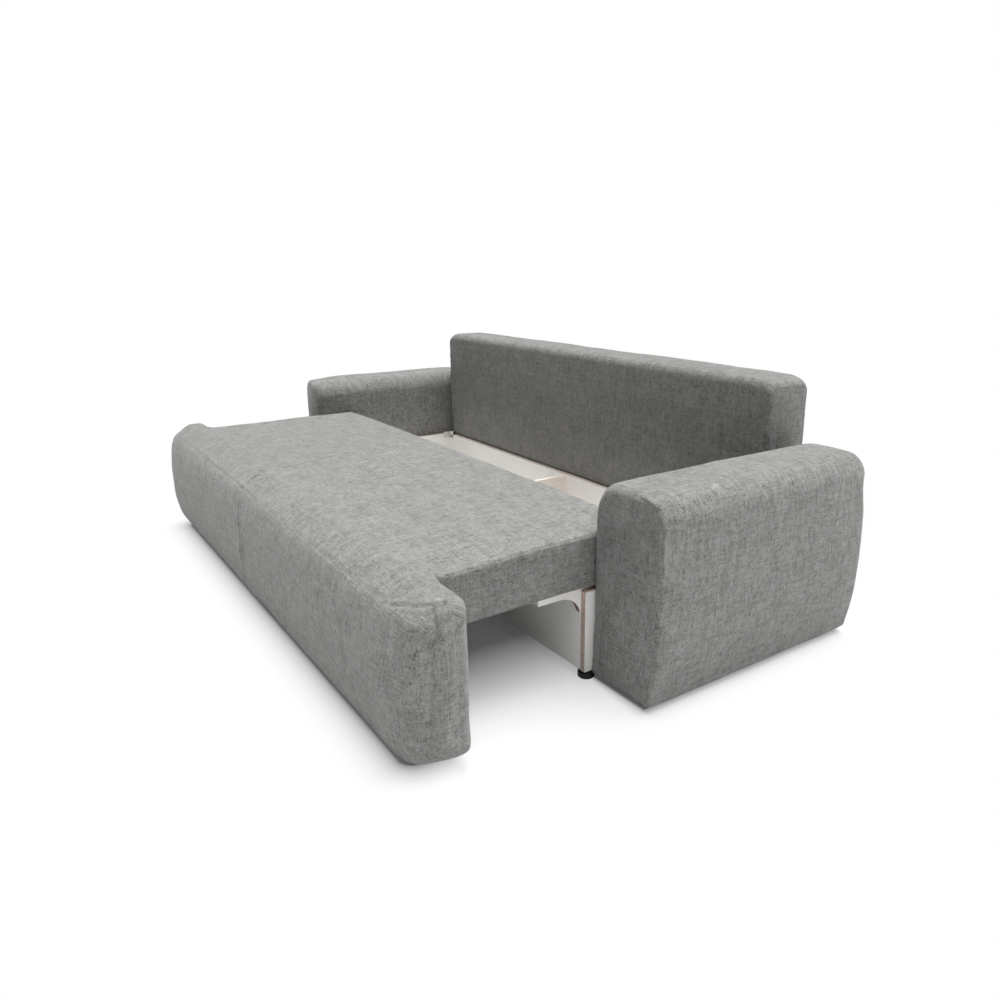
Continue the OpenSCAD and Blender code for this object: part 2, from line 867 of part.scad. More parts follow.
// The moving steel plate on the end of the backrest, turning on the pin
module pivot_lever() {
    upright_y = back_core_front - hinge_y;
    upright_w = 2 * ear_r;
    color(steel) at_hinge()
        translate([lever_x, 0, 0])
            plate_yz(plate_t)
                difference() {
                    union() {
                        circle(r = ear_r);
                        square([upright_y + upright_w, ear_r]);
                        translate([upright_y, 0]) square([upright_w, lever_h]);
                    }
                    circle(r = pivot_r + running_gap);
                }
}

module pivot_lever_right() {
    placed() pivot_lever();
}

module pivot_lever_left() {
    placed() mirror([1, 0, 0]) pivot_lever();
}

box_side_board_left();
box_side_board_right();
box_front_wall();
box_rear_wall();
box_partition();
box_bottom_panel();
box_bottom_battens();
box_corner_blocks();
rear_ledge();
rear_panel();
runner_left();
runner_right();
box_feet();
arm_cover_left();
arm_cover_right();
arm_side_boards_left();
arm_side_boards_right();
arm_cross_boards_left();
arm_cross_boards_right();
arm_bottom_board_left();
arm_bottom_board_right();
arm_feet();
arm_bolts();
pivot_bracket_left();
pivot_bracket_right();
pivot_pins();
seat_cushion();
seat_long_rails();
seat_cross_rails();
seat_deck();
seat_lining();
guide_rail_left();
guide_rail_right();
panel_cover();
panel_long_rails();
panel_uprights();
panel_back_board();
castor_forks();
castor_axles();
castor_wheel_1();
castor_wheel_2();
castor_wheel_3();
castor_wheel_4();
backrest_cushion();
backrest_long_rails();
backrest_uprights();
backrest_board();
pivot_lever_left();
pivot_lever_right();
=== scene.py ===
"""A pull-out sofa bed with its seat rolled forward and its bedding box open.

Padded covers are built as quad meshes in the space of their solids, and then get their
seams, puckers and folds. Boards, castors and steel parts keep their solids and get their
finish here.
"""
import math

import bmesh
import bpy
import numpy as np
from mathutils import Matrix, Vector, kdtree
from mathutils.bvhtree import BVHTree


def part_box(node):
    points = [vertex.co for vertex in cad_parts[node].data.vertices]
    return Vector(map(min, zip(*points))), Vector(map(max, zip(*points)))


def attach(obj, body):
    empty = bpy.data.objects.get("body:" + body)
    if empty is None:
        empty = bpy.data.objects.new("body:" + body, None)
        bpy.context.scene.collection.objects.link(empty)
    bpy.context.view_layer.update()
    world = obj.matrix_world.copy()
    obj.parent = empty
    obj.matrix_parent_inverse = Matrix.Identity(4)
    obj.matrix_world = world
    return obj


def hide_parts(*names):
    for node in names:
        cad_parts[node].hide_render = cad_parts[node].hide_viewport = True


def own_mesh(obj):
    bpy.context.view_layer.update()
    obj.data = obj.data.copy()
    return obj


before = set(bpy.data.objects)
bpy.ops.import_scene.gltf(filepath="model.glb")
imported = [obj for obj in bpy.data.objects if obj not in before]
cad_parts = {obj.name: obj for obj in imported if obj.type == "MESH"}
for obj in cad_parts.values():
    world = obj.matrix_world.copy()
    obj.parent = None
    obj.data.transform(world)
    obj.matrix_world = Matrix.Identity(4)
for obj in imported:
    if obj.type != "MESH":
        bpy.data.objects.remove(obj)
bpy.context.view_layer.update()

scene = bpy.context.scene


# Places and sizes in metres
FAR = 9.0


def corners(node):
    """The lowest and the highest corner of a solid, as arrays."""
    low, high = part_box(node)
    return np.array(low), np.array(high)


SEAT_LOW, SEAT_HIGH = corners("seat_cushion")
PANEL_HIGH = corners("panel_cover")[1]
BACK_LOW, BACK_HIGH = corners("backrest_cushion")
ARM_LOW, ARM_HIGH = corners("arm_cover_right")
JOIN_Y = SEAT_LOW[1]


# Smooth random fields
FIELD_SIZE = 64
FIELD = np.random.RandomState(7).rand(FIELD_SIZE, FIELD_SIZE, FIELD_SIZE) * 2 - 1
SEED_STEP = 17.31


def field(points, size, seed):
    """Smooth noise from -1 to 1 that varies over about the given size in metres."""
    p = np.asarray(points, float) / size + seed * SEED_STEP
    cell = np.floor(p).astype(int)
    t = p - cell
    t = t * t * (3 - 2 * t)
    total = np.zeros(len(p))
    for corner in np.ndindex(2, 2, 2):
        weight = np.ones(len(p))
        index = []
        for axis in range(3):
            weight *= t[:, axis] if corner[axis] else 1 - t[:, axis]
            index.append((cell[:, axis] + corner[axis]) % FIELD_SIZE)
        total += weight * FIELD[index[0], index[1], index[2]]
    return total


def ease(t):
    """A smooth step from 0 to 1."""
    t = np.clip(t, 0, 1)
    return t * t * (3 - 2 * t)


def bump(d, width):
    """A smooth bell of height 1 round d = 0."""
    return np.exp(-(d / width) ** 2)


# Meshes
def new_object(name, points, faces, weave=None):
    """A smooth-shaded mesh object. weave gives each face corner its place on the cloth."""
    mesh = bpy.data.meshes.new(name)
    mesh.from_pydata([tuple(p) for p in points], [], [tuple(f) for f in faces])
    if weave is not None:
        layer = mesh.uv_layers.new(name="weave")
        layer.data.foreach_set("uv", np.asarray(weave, np.float32).ravel())
    mesh.shade_smooth()
    obj = bpy.data.objects.new(name, mesh)
    scene.collection.objects.link(obj)
    return obj


def read(mesh, what):
    """The places ("co") or the normals ("normal") of a mesh's points."""
    values = np.empty(len(mesh.vertices) * 3, np.float32)
    mesh.vertices.foreach_get(what, values)
    return values.reshape(-1, 3).astype(float)


def write_points(mesh, points):
    """Puts a mesh's points in new places."""
    mesh.vertices.foreach_set("co", np.asarray(points, np.float32).ravel())
    mesh.update()


def finer(obj):
    """Subdivides a cover once. The first points of the finer mesh are the old ones."""
    modifier = obj.modifiers.new("finer", "SUBSURF")
    modifier.levels = 1
    modifier.render_levels = 1
    graph = bpy.context.evaluated_depsgraph_get()
    mesh = bpy.data.meshes.new_from_object(obj.evaluated_get(graph), depsgraph=graph)
    obj.modifiers.clear()
    obj.data = mesh


GRID_STEP = 0.015
CORNER_STEP = 0.008


def rounded_box(low, high, radii, top_lines=None, corner_step=CORNER_STEP):
    """A box's closed outline with rounded corners, as points in order from the lower left
    corner. top_lines gives the places of its points along the top, from the right."""
    p = np.array([low, (high[0], low[1]), high, (low[0], high[1])], float)
    loop = []
    for i, radius in enumerate(radii):
        along = p[(i + 1) % 4] - p[i]
        size = np.linalg.norm(along)
        along /= size
        back = p[i - 1] - p[i]
        back /= np.linalg.norm(back)
        steps = max(2, int(math.ceil(radius * math.pi / 2 / corner_step)))
        centre = p[i] + (along + back) * radius
        for turn in np.linspace(0, math.pi / 2, steps + 1):
            loop.append(centre - along * radius * math.cos(turn) - back * radius * math.sin(turn))
        run = size - radius - radii[(i + 1) % 4]
        places = radius + np.linspace(0, run, max(2, int(round(run / GRID_STEP))) + 1)[1:-1]
        if i == 2 and top_lines is not None:
            places = top_lines
        loop.extend(p[i] + along * place for place in places)
    return np.array(loop)


def outward(points, quads, weave):
    """Turns a form's faces so that they look outwards."""
    centre = points.mean(0)
    a, b, c, d = (points[quads[:, i]] - centre for i in range(4))
    volume = np.einsum("ij,ij->i", a, np.cross(b, c) + np.cross(c, d)).sum()
    if volume < 0:
        return quads[:, ::-1], weave[:, ::-1]
    return quads, weave


CAP_SHARES = (0.2, 0.45, 0.7, 1.0)
# Where on the cloth the sides and the two ends of a cover are cut from
SIDE_CUT = 1.5
FIRST_CAP_CUT = (9.1, 2.7)
LAST_CAP_CUT = (13.4, 2.7)


def cloth_lengths(axis, rings, centre):
    """How far the cloth has run along the cover at each point, and round it at each row."""
    count = len(rings[0])
    middle = rings[centre]
    gaps = np.linalg.norm(np.roll(middle, -1, axis=0) - middle, axis=1)
    along = np.zeros((len(rings), count + 1))
    for m in range(1, len(rings)):
        along[m, :count] = along[m - 1, :count] + np.linalg.norm(rings[m] - rings[m - 1], axis=1)
    along[:, count] = along[:, 0]
    along += middle[0, axis] - along[centre]
    return along, np.concatenate([[0], np.cumsum(gaps)])


def skin(axis, rings, core, crown, ends=(True, True), hidden=None):
    """A cover drawn through rings of points, each one a closed outline across an axis.

    A closed end shrinks to the core, and crown is how far it stands out. Returns points,
    quads and cloth places."""
    rings = [np.asarray(ring) for ring in rings]
    first = 0
    if ends[0]:
        first = len(CAP_SHARES)
        cap = [cap_ring(axis, rings[0], core, crown, share, -1) for share in CAP_SHARES[::-1]]
        rings = cap + rings
    last = len(rings) - 1
    if ends[1]:
        rings = rings + [cap_ring(axis, rings[-1], core, crown, share, 1) for share in CAP_SHARES]
    count = len(rings[0])
    points = np.concatenate(rings)
    along, length = cloth_lengths(axis, rings, (first + last) // 2)
    flat = np.delete(np.array(rings), axis, axis=2)
    quads, weave = [], []
    for m in range(len(rings) - 1):
        is_cap = m < first or m >= last
        cut = FIRST_CAP_CUT if m < first else LAST_CAP_CUT
        for n in range(count):
            if hidden is not None and hidden(rings[m][n], rings[m + 1][n], n):
                continue
            k = (n + 1) % count
            quads.append((m * count + n, (m + 1) * count + n, (m + 1) * count + k, m * count + k))
            if is_cap:
                places = ((m, n), (m + 1, n), (m + 1, k), (m, k))
                weave.append([(flat[i, j, 0] + cut[0], flat[i, j, 1] + cut[1]) for i, j in places])
            else:
                places = ((m, n), (m + 1, n), (m + 1, n + 1), (m, n + 1))
                weave.append([(along[i, row], length[row] + SIDE_CUT) for i, row in places])
    quads, weave = outward(points, np.array(quads), np.array(weave))
    return points, quads, weave


def cap_ring(axis, ring, core, crown, share, sign):
    """One ring of a closed end, shrunk towards the core by a share and crowned."""
    shrunk = ring + (np.clip(ring, *core) - ring) * share
    shrunk[:, axis] = ring[:, axis] + sign * crown * (1 - (1 - share) ** 2.2)
    return shrunk


def draw_in(axis, outline, core, place, inset):
    """An outline set across an axis and drawn in towards its core by an inset."""
    ring = np.insert(outline, axis, place, axis=1)
    away = ring - np.clip(ring, *core)
    size = np.linalg.norm(away, axis=1)[:, None]
    return ring - away / size * np.minimum(inset, size)


def end_stations(end, radius, steps, sign):
    """Stations that round an end off, as (place, inset), from the flat part outwards."""
    turns = np.linspace(0, math.pi / 2, steps + 1)[1:]
    stations = [(end - sign * radius * (1 - math.sin(t)), radius * (1 - math.cos(t))) for t in turns]
    return stations if sign > 0 else stations[::-1]


def end_rings(axis, outline, core, end, radii, steps, sign):
    """Rings that round an end off, each point of the outline by its own radius."""
    rings = []
    for turn in np.linspace(0, math.pi / 2, steps + 1)[1:]:
        inset = (radii * (1 - math.cos(turn)))[:, None]
        ring = draw_in(axis, outline, core, 0.0, inset)
        ring[:, axis] = end - sign * radii * (1 - math.sin(turn))
        rings.append(ring)
    return rings if sign > 0 else rings[::-1]


def surface_of(mesh):
    """A tree of a mesh's faces, which finds the surface's nearest point and normal."""
    places = [vertex.co for vertex in mesh.vertices]
    return BVHTree.FromPolygons(places, [face.vertices[:] for face in mesh.polygons])


def lengths_along(points):
    """How far each point of a line lies from its start, measured along it."""
    gaps = np.linalg.norm(np.diff(points, axis=0), axis=1)
    return np.concatenate([[0], np.cumsum(gaps)])


SEAM_SPACING = 0.003


class Seam:
    """A line of sewing over a cover, for the distance from it and the place along it."""

    def __init__(self, points, surface=None):
        points = np.asarray(points, float)
        length = lengths_along(points)
        count = max(2, int(length[-1] / SEAM_SPACING))
        self.along = np.linspace(0, length[-1], count)
        columns = [np.interp(self.along, length, points[:, a]) for a in range(3)]
        self.points = np.stack(columns, axis=1)
        if surface is not None:
            self.points = np.array([surface.find_nearest(point)[0] for point in self.points])
        self.tree = kdtree.KDTree(count)
        for index, point in enumerate(self.points):
            self.tree.insert(point, index)
        self.tree.balance()

    def at(self, place):
        """The seam's point at one place along it."""
        return np.array([np.interp(place, self.along, self.points[:, a]) for a in range(3)])

    def near(self, points, reach=0.08):
        """The distance of each point from the seam, and the place along it."""
        low, high = self.points.min(0) - reach, self.points.max(0) + reach
        close = np.all((points > low) & (points < high), axis=1)
        distance = np.full(len(points), FAR)
        along = np.zeros(len(points))
        for index in np.nonzero(close)[0]:
            _, found, gap = self.tree.find(points[index])
            distance[index] = gap
            along[index] = self.along[found]
        return distance, along


class Cover:
    """A cover's points with their normals, and how far its sewing moves them."""

    def __init__(self, obj, seed):
        self.mesh = obj.data
        self.points = read(self.mesh, "co")
        self.normals = read(self.mesh, "normal")
        self.move = np.zeros_like(self.points)
        # the soft unevenness of padded cloth
        waves = 0.0016 * field(self.points, 0.16, seed)
        waves += 0.0007 * field(self.points, 0.055, seed + 1)
        self.push(waves + 0.00025 * field(self.points, 0.018, seed + 2))

    def push(self, amount):
        """Moves each point outwards by an amount."""
        self.move += self.normals * amount[:, None]

    def sew(self, seam, depth, width, puff, pucker, seed, strength=1.0):
        """Draws the cover in along a seam, with the puffs beside it and its puckers.

        seed varies their unevenness. strength is one number, or one for each point."""
        distance, along = seam.near(self.points)
        track = np.stack([along, along * 0, along * 0 + seed], axis=1)
        uneven = 1 + 0.35 * field(track, 0.045, seed)
        gather = field(track, 0.011, seed + 1)
        amount = -depth * uneven * bump(distance, width)
        amount += puff * uneven * bump(distance - 2.6 * width, 2.2 * width)
        amount += pucker * gather * bump(distance - 1.5 * width, 3.0 * width)
        self.push(amount * strength)

    def settle(self):
        """Gives the mesh its moved points."""
        write_points(self.mesh, self.points + self.move)


# A stitch: the share of its radius at each ring, its spacing, size and distance from the seam
STITCH_BULGE = (0.25, 0.85, 1.0, 0.85, 0.25)
STITCH_SIDES = 5
STITCH_PITCH = 0.0072
STITCH_LENGTH = 0.0046
STITCH_RADIUS = 0.0006
STITCH_ASIDE = 0.0042


def stitch_rings(surface, start, end):
    """The points of one stitch that lies on a surface beside the line from start to end."""
    axis = (end - start) / np.linalg.norm(end - start)
    across = np.cross(axis, np.array(surface.find_nearest(start)[1]))
    across /= np.linalg.norm(across)
    points = []
    for step, size in enumerate(STITCH_BULGE):
        share = step / (len(STITCH_BULGE) - 1)
        place, up, _, _ = surface.find_nearest(start + (end - start) * share + across * STITCH_ASIDE)
        up = np.array(up)
        centre = np.array(place) + up * STITCH_RADIUS * (size - 0.75)
        for n in range(STITCH_SIDES):
            turn = 2 * math.pi * n / STITCH_SIDES
            away = across * math.cos(turn) + up * math.sin(turn)
            points.append(centre + STITCH_RADIUS * size * away)
    return points


def stitch_faces(first):
    """The faces of one stitch whose points start at first."""
    faces = []
    for step in range(len(STITCH_BULGE) - 1):
        for n in range(STITCH_SIDES):
            a = first + step * STITCH_SIDES + n
            b = first + step * STITCH_SIDES + (n + 1) % STITCH_SIDES
            faces.append((a, b, b + STITCH_SIDES, a + STITCH_SIDES))
    last = first + (len(STITCH_BULGE) - 1) * STITCH_SIDES
    faces.append(tuple(first + n for n in range(STITCH_SIDES))[::-1])
    faces.append(tuple(last + n for n in range(STITCH_SIDES)))
    return faces


def stitches(name, surface, seams):
    """Rows of short threads on a surface, along its seams."""
    points, faces = [], []
    for seam in seams:
        for place in np.arange(STITCH_PITCH, seam.along[-1] - STITCH_PITCH, STITCH_PITCH):
            faces += stitch_faces(len(points))
            points += stitch_rings(surface, seam.at(place), seam.at(place + STITCH_LENGTH))
    return new_object(name, points, faces)


# Materials
class Nodes:
    """Short ways to add a tree's nodes and to fill their inputs."""

    def __init__(self, tree):
        self.tree = tree

    def put(self, socket, value):
        if hasattr(value, "is_output"):
            self.tree.links.new(value, socket)
        else:
            socket.default_value = value

    def add(self, kind, inputs=None, **settings):
        """A new node. inputs gives each input's number or source by its name or place."""
        node = self.tree.nodes.new(kind)
        for key, value in settings.items():
            setattr(node, key, value)
        for key, value in (inputs or {}).items():
            self.put(node.inputs[key], value)
        return node

    def math(self, operation, a, b=0.0):
        return self.add("ShaderNodeMath", {0: a, 1: b}, operation=operation).outputs[0]

    def blend(self, a, b, share):
        """A share of a and the rest of b."""
        return self.math("ADD", self.math("MULTIPLY", a, share), self.math("MULTIPLY", b, 1 - share))

    def vector(self, operation, inputs):
        return self.add("ShaderNodeVectorMath", inputs, operation=operation).outputs[0]

    def noise(self, vector, scale, detail, rough=0.5, distortion=0.0):
        inputs = {"Vector": vector, "Scale": scale, "Detail": detail, "Roughness": rough,
                  "Distortion": distortion}
        return self.add("ShaderNodeTexNoise", inputs).outputs["Fac"]

    def stretch(self, vector, scale):
        return self.add("ShaderNodeMapping", {"Vector": vector, "Scale": scale}).outputs["Vector"]

    def range(self, value, low, high, to_low=0.0, to_high=1.0):
        inputs = {"Value": value, "From Min": low, "From Max": high, "To Min": to_low,
                  "To Max": to_high}
        return self.add("ShaderNodeMapRange", inputs).outputs["Result"]

    def mix(self, factor, a, b, blend="MIX"):
        inputs = {"Factor": factor}
        for key, tint in (("A", a), ("B", b)):
            inputs[key] = tint if hasattr(tint, "is_output") else (*tint, 1)
        node = self.add("ShaderNodeMix", inputs, data_type="RGBA", blend_type=blend)
        return node.outputs["Result"]

    def warp(self, vector, scale, amount):
        """Moves a place a little by a noise, so that straight threads wander."""
        noise = self.add("ShaderNodeTexNoise", {"Vector": vector, "Scale": scale, "Detail": 2.0})
        centred = self.vector("SUBTRACT", {0: noise.outputs["Color"], 1: (0.5, 0.5, 0.5)})
        return self.vector("ADD", {0: vector, 1: self.vector("SCALE", {0: centred, "Scale": amount})})


class Shade(Nodes):
    """The nodes of a new material."""

    def __init__(self, name):
        self.material = bpy.data.materials.new(name)
        self.material.use_nodes = True
        super().__init__(self.material.node_tree)
        self.shader = self.tree.nodes["Principled BSDF"]

    def place(self):
        """The place on the object, in metres."""
        return self.add("ShaderNodeTexCoord").outputs["Object"]

    def bump(self, height, distance, strength):
        inputs = {"Height": height, "Distance": distance, "Strength": strength}
        self.set(Normal=self.add("ShaderNodeBump", inputs).outputs["Normal"])

    def set(self, **values):
        for key, value in values.items():
            self.put(self.shader.inputs[key.replace("_", " ")], value)


def lighter(tint, factor):
    """A colour made lighter or darker by a factor."""
    return tuple(min(1.0, factor * c) for c in tint)


YARN_PITCH = 0.0052


def upholstery_cloth(name, tint=(0.196, 0.196, 0.189)):
    """Grey chenille: light and dark yarns woven square, with slubs, flecks and nap."""
    s = Shade(name)
    place = s.add("ShaderNodeUVMap", uv_map="weave").outputs["UV"]
    split = s.add("ShaderNodeSeparateXYZ", {0: place})
    threads = []
    for axis, along, across in ((0, 0.3, 1.0), (1, 1.0, 0.3)):
        drift = s.noise(s.stretch(place, (along, across, 1)), 70, 2)
        turn = s.math("MULTIPLY", split.outputs[axis], 2 * math.pi / YARN_PITCH)
        turn = s.math("ADD", turn, s.math("MULTIPLY", drift, 9))
        threads.append(s.math("SINE", turn))
    ribs = s.math("MAXIMUM", threads[0], threads[1])

    wander = s.warp(place, 55, 0.007)
    slub_u, slub_v = (s.noise(s.stretch(wander, scale), 1.0, 3, 0.65)
                      for scale in ((30, 200, 1), (200, 30, 1)))
    band_u, band_v = (s.noise(s.stretch(place, scale), 1.0, 3, 0.55)
                      for scale in ((8, 62, 1), (62, 8, 1)))
    hair = s.noise(place, 210, 3, 0.7, 1.2)
    fleck = s.noise(place, 520, 2, 0.7)
    mottle = s.noise(place, 70, 4, 0.65, 0.6)
    cloud = s.noise(place, 15, 3, 0.55)
    tone = 1.0
    for value, amount in ((slub_u, 1.00), (slub_v, 1.00), (band_u, 0.50), (band_v, 0.62),
                          (hair, 1.25), (fleck, 1.5), (mottle, 0.85), (cloud, 0.50)):
        tone = s.math("ADD", s.math("MULTIPLY", s.math("SUBTRACT", value, 0.5), amount), tone)
    tone = s.math("ADD", tone, s.math("MULTIPLY", ribs, 0.13))
    # short dark curling strokes where the pile parts
    parting = s.range(s.math("MINIMUM", hair, s.math("MULTIPLY", slub_v, 1.06)), 0.34, 0.42, 0.62, 1.0)
    strokes = s.math("SUBTRACT", s.noise(place, 85, 2, 0.5, 2.2), 0.5)
    curl = s.range(s.math("ABSOLUTE", strokes), 0.006, 0.020)
    worn = s.range(s.noise(place, 48, 2, 0.5), 0.50, 0.62)
    darker = s.math("MULTIPLY", worn, s.math("MULTIPLY", s.math("SUBTRACT", 1.0, curl), 0.34))
    parting = s.math("MULTIPLY", parting, s.math("SUBTRACT", 1.0, darker))
    tone = s.math("MAXIMUM", s.math("MULTIPLY", tone, parting), 0.15)
    s.set(Base_Color=s.vector("SCALE", {0: tint, "Scale": tone}))
    height = s.math("MULTIPLY", ribs, 0.10)
    for value, amount in ((slub_u, 0.30), (slub_v, 0.30), (hair, 0.34), (fleck, 0.22), (mottle, 0.80)):
        height = s.math("ADD", height, s.math("MULTIPLY", value, amount))
    s.bump(height, 0.0032, 0.8)
    s.set(Roughness=0.92, Sheen_Weight=0.22, Sheen_Roughness=0.45, Specular_IOR_Level=0.12)
    return s.material


def laminated_board(name, axis, white=(0.90, 0.89, 0.87), raw=(0.50, 0.39, 0.335), front_white=False):
    """White melamine on chipboard: smooth faces, sawn edges with their chips showing."""
    s = Shade(name)
    coordinates = s.add("ShaderNodeTexCoord").outputs
    place = coordinates["Object"]
    normal = s.add("ShaderNodeSeparateXYZ", {0: coordinates["Normal"]}).outputs
    face = s.range(s.math("ABSOLUTE", normal[axis]), 0.6, 0.8)
    if front_white:
        face = s.math("MAXIMUM", face, s.range(normal[1], -0.96, -0.99))
    chips = s.add("ShaderNodeTexVoronoi", {"Vector": place, "Scale": 420})
    grain = s.noise(place, 160, 3, 0.7)
    raw_tint = s.mix(s.range(grain, 0.3, 0.7), lighter(raw, 0.62), lighter(raw, 1.25))
    raw_tint = s.mix(0.35, raw_tint, chips.outputs["Color"], "SOFT_LIGHT")
    dirt = s.noise(place, 9, 4, 0.6)
    scuff = s.noise(s.stretch(place, (1, 1, 6)), 45, 4, 0.7)
    white_tint = s.mix(s.range(dirt, 0.35, 0.75, 0, 0.35), white, lighter(white, 0.88))
    white_tint = s.mix(s.range(scuff, 0.68, 0.78, 0, 0.35), white_tint, lighter(white, 0.70))
    s.set(Base_Color=s.mix(face, raw_tint, white_tint), Roughness=s.range(face, 0, 1, 0.85, 0.42))
    height = s.math("ADD", grain, chips.outputs["Distance"])
    s.bump(s.math("MULTIPLY", height, s.math("SUBTRACT", 1.0, face)), 0.0006, 0.8)
    return s.material


def softwood(name, along, pale=(0.80, 0.69, 0.57), dark=(0.66, 0.51, 0.38)):
    """Planed pine with rings drawn out along the grain, and a few knots."""
    s = Shade(name)
    place = s.place()
    scale = [26.0, 26.0, 26.0]
    scale[along] = 1.6
    drawn = s.stretch(place, tuple(scale))
    inputs = {"Vector": drawn, "Scale": 0.9, "Distortion": 5.0, "Detail": 3.0}
    rings = s.add("ShaderNodeTexWave", inputs, wave_type="RINGS", rings_direction="XYZ"[along])
    fibre = s.noise(drawn, 14, 3, 0.7)
    tint = s.mix(s.blend(rings.outputs["Fac"], fibre, 0.6), pale, dark)
    knots = s.add("ShaderNodeTexVoronoi", {"Vector": place, "Scale": 4.0})
    knot = s.range(knots.outputs["Distance"], 0.05, 0.09, 1, 0)
    s.bump(fibre, 0.0005, 0.5)
    s.set(Base_Color=s.mix(knot, tint, lighter(dark, 0.4)), Roughness=0.62, Specular_IOR_Level=0.3)
    return s.material


def pressed_board(name, tint=(0.30, 0.19, 0.115)):
    """Brown hardboard with its fine felted fibres."""
    s = Shade(name)
    place = s.place()
    fibre = s.noise(place, 350, 4, 0.75, 0.8)
    cloud = s.noise(place, 12, 3, 0.6)
    tone = s.range(s.blend(fibre, cloud, 0.6), 0.35, 0.65)
    mixed = s.mix(tone, lighter(tint, 0.72), lighter(tint, 1.22))
    s.bump(fibre, 0.0003, 0.6)
    s.set(Base_Color=mixed, Roughness=0.55)
    return s.material


def dust_cover(name, tint=(0.018, 0.018, 0.019)):
    """Black spun-bonded lining with its grid of pressed dots."""
    s = Shade(name)
    place = s.place()
    dots = s.add("ShaderNodeTexVoronoi", {"Vector": place, "Scale": 520, "Randomness": 0.35})
    wave = s.range(s.noise(place, 16, 3), 0.3, 0.7, 0.6, 1.0)
    tone = s.math("MULTIPLY", s.range(dots.outputs["Distance"], 0.1, 0.5), wave)
    s.bump(dots.outputs["Distance"], 0.0003, 0.7)
    s.set(Base_Color=s.mix(tone, tint, lighter(tint, 2.4)), Roughness=0.8, Sheen_Weight=0.2)
    return s.material


def metal(name, tint, roughness, metallic=1.0, scratch=0.12):
    """Steel, plated or painted, with fine drawn marks and uneven gloss."""
    s = Shade(name)
    place = s.place()
    marks = s.noise(s.stretch(place, (60, 900, 60)), 1.0, 3, 0.6)
    cloud = s.noise(place, 60, 3, 0.6)
    tone = s.blend(marks, cloud, 0.5)
    mixed = s.mix(s.range(tone, 0.3, 0.7), lighter(tint, 0.8), lighter(tint, 1.15))
    gloss = s.range(tone, 0.3, 0.7, roughness - scratch, roughness + scratch)
    s.bump(marks, 0.0002, 0.4)
    s.set(Base_Color=mixed, Roughness=gloss, Metallic=metallic)
    return s.material


def moulded_plastic(name, tint=(0.006, 0.006, 0.006)):
    """Black plastic with a fine spark-eroded grain."""
    s = Shade(name)
    place = s.place()
    grain = s.noise(place, 900, 3, 0.6)
    dust = s.noise(place, 40, 4, 0.65)
    mixed = s.mix(s.range(dust, 0.5, 0.8, 0, 0.5), tint, lighter(tint, 4))
    s.bump(grain, 0.0002, 0.5)
    s.set(Base_Color=mixed, Roughness=s.range(grain, 0.3, 0.7, 0.35, 0.5))
    return s.material


def thread(name, tint=(0.16, 0.16, 0.155)):
    """Twisted sewing thread."""
    s = Shade(name)
    place = s.place()
    twist = s.noise(place, 2500, 2)
    mixed = s.mix(twist, lighter(tint, 0.7), lighter(tint, 1.3))
    s.set(Base_Color=mixed, Roughness=0.7, Sheen_Weight=0.3)
    return s.material


CLOTH = upholstery_cloth("grey_chenille")
WHITE_X = laminated_board("white_board_across", 0)
# the guide's sawn edges are chipboard's own brown made far darker: painted shade for the hollow that
# faces down
WHITE_GUIDE_SHADED_EDGES = laminated_board("white_guide_shaded_edges", 0, raw=(0.17, 0.115, 0.09), front_white=True)
WHITE_Y = laminated_board("white_board_along", 1)
WHITE_Z = laminated_board("white_hardboard", 2, raw=(0.40, 0.28, 0.20))
WHITE_LEDGE = laminated_board("white_ledge", 1, raw=(0.74, 0.66, 0.60))
PALE_WOOD = softwood("pale_birch", 1, (0.88, 0.82, 0.76), (0.80, 0.71, 0.63))
PINE = [softwood(f"pine_along_{'xyz'[axis]}", axis) for axis in range(3)]
HARDBOARD = pressed_board("brown_hardboard")
LINING = dust_cover("black_lining")
ZINC = metal("bright_zinc", (0.55, 0.56, 0.57), 0.34)
PALE_ZINC = metal("pale_zinc", (0.80, 0.79, 0.77), 0.55)
BLACK_STEEL = metal("black_steel", (0.02, 0.02, 0.021), 0.42, 0.0, 0.08)
PLASTIC = moulded_plastic("black_plastic")
THREAD = thread("grey_thread")


def finish_with(obj, material):
    """Gives an object one material."""
    obj.data.materials.clear()
    obj.data.materials.append(material)


# The finish of each solid, by the starts of the nodes' names
FINISHES = [
    (WHITE_X, "box_side_board"),
    (WHITE_Y, "box_front_wall box_rear_wall panel_back_board"),
    (WHITE_Z, "box_bottom_panel"),
    (WHITE_GUIDE_SHADED_EDGES, "guide_rail"),
    (WHITE_LEDGE, "rear_ledge"),
    (PALE_WOOD, "box_partition"),
    (HARDBOARD, "rear_panel seat_deck backrest_board"),
    (LINING, "seat_lining"),
    (PINE[0], "box_bottom_battens seat_long_rails panel_long_rails backrest_long_rails"),
    (PINE[1], "runner seat_cross_rails arm_side_boards arm_bottom_board"),
    (PINE[2], "box_corner_blocks panel_uprights backrest_uprights arm_cross_boards"),
    (PLASTIC, "box_feet arm_feet castor_wheel"),
    (ZINC, "arm_bolts pivot_pins castor_forks castor_axles"),
    (PALE_ZINC, "pivot_bracket"),
    (BLACK_STEEL, "pivot_lever"),
]
for finish, starts in FINISHES:
    for node_name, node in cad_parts.items():
        if node_name.startswith(tuple(starts.split())):
            finish_with(node, finish)


# The seat and the front panel, under one cover
SEAT_SEAM_X = -0.075
SEAT_TOP = SEAT_HIGH[2] - 0.003
SEAT_TOP_RADIUS = 0.012
SEAT_LOW_RADIUS = 0.010
WELD_HALF = SEAT_HIGH[0] - SEAT_TOP_RADIUS
PANEL_TOP_RADIUS = 0.034
PANEL_BACK_BULGE = 0.010
PANEL_BACK_INSET = 0.0055
PANEL_END_RADIUS = 0.046
SEAT_REAR_RADIUS = 0.022
WELD_DISTANCE = 0.0003


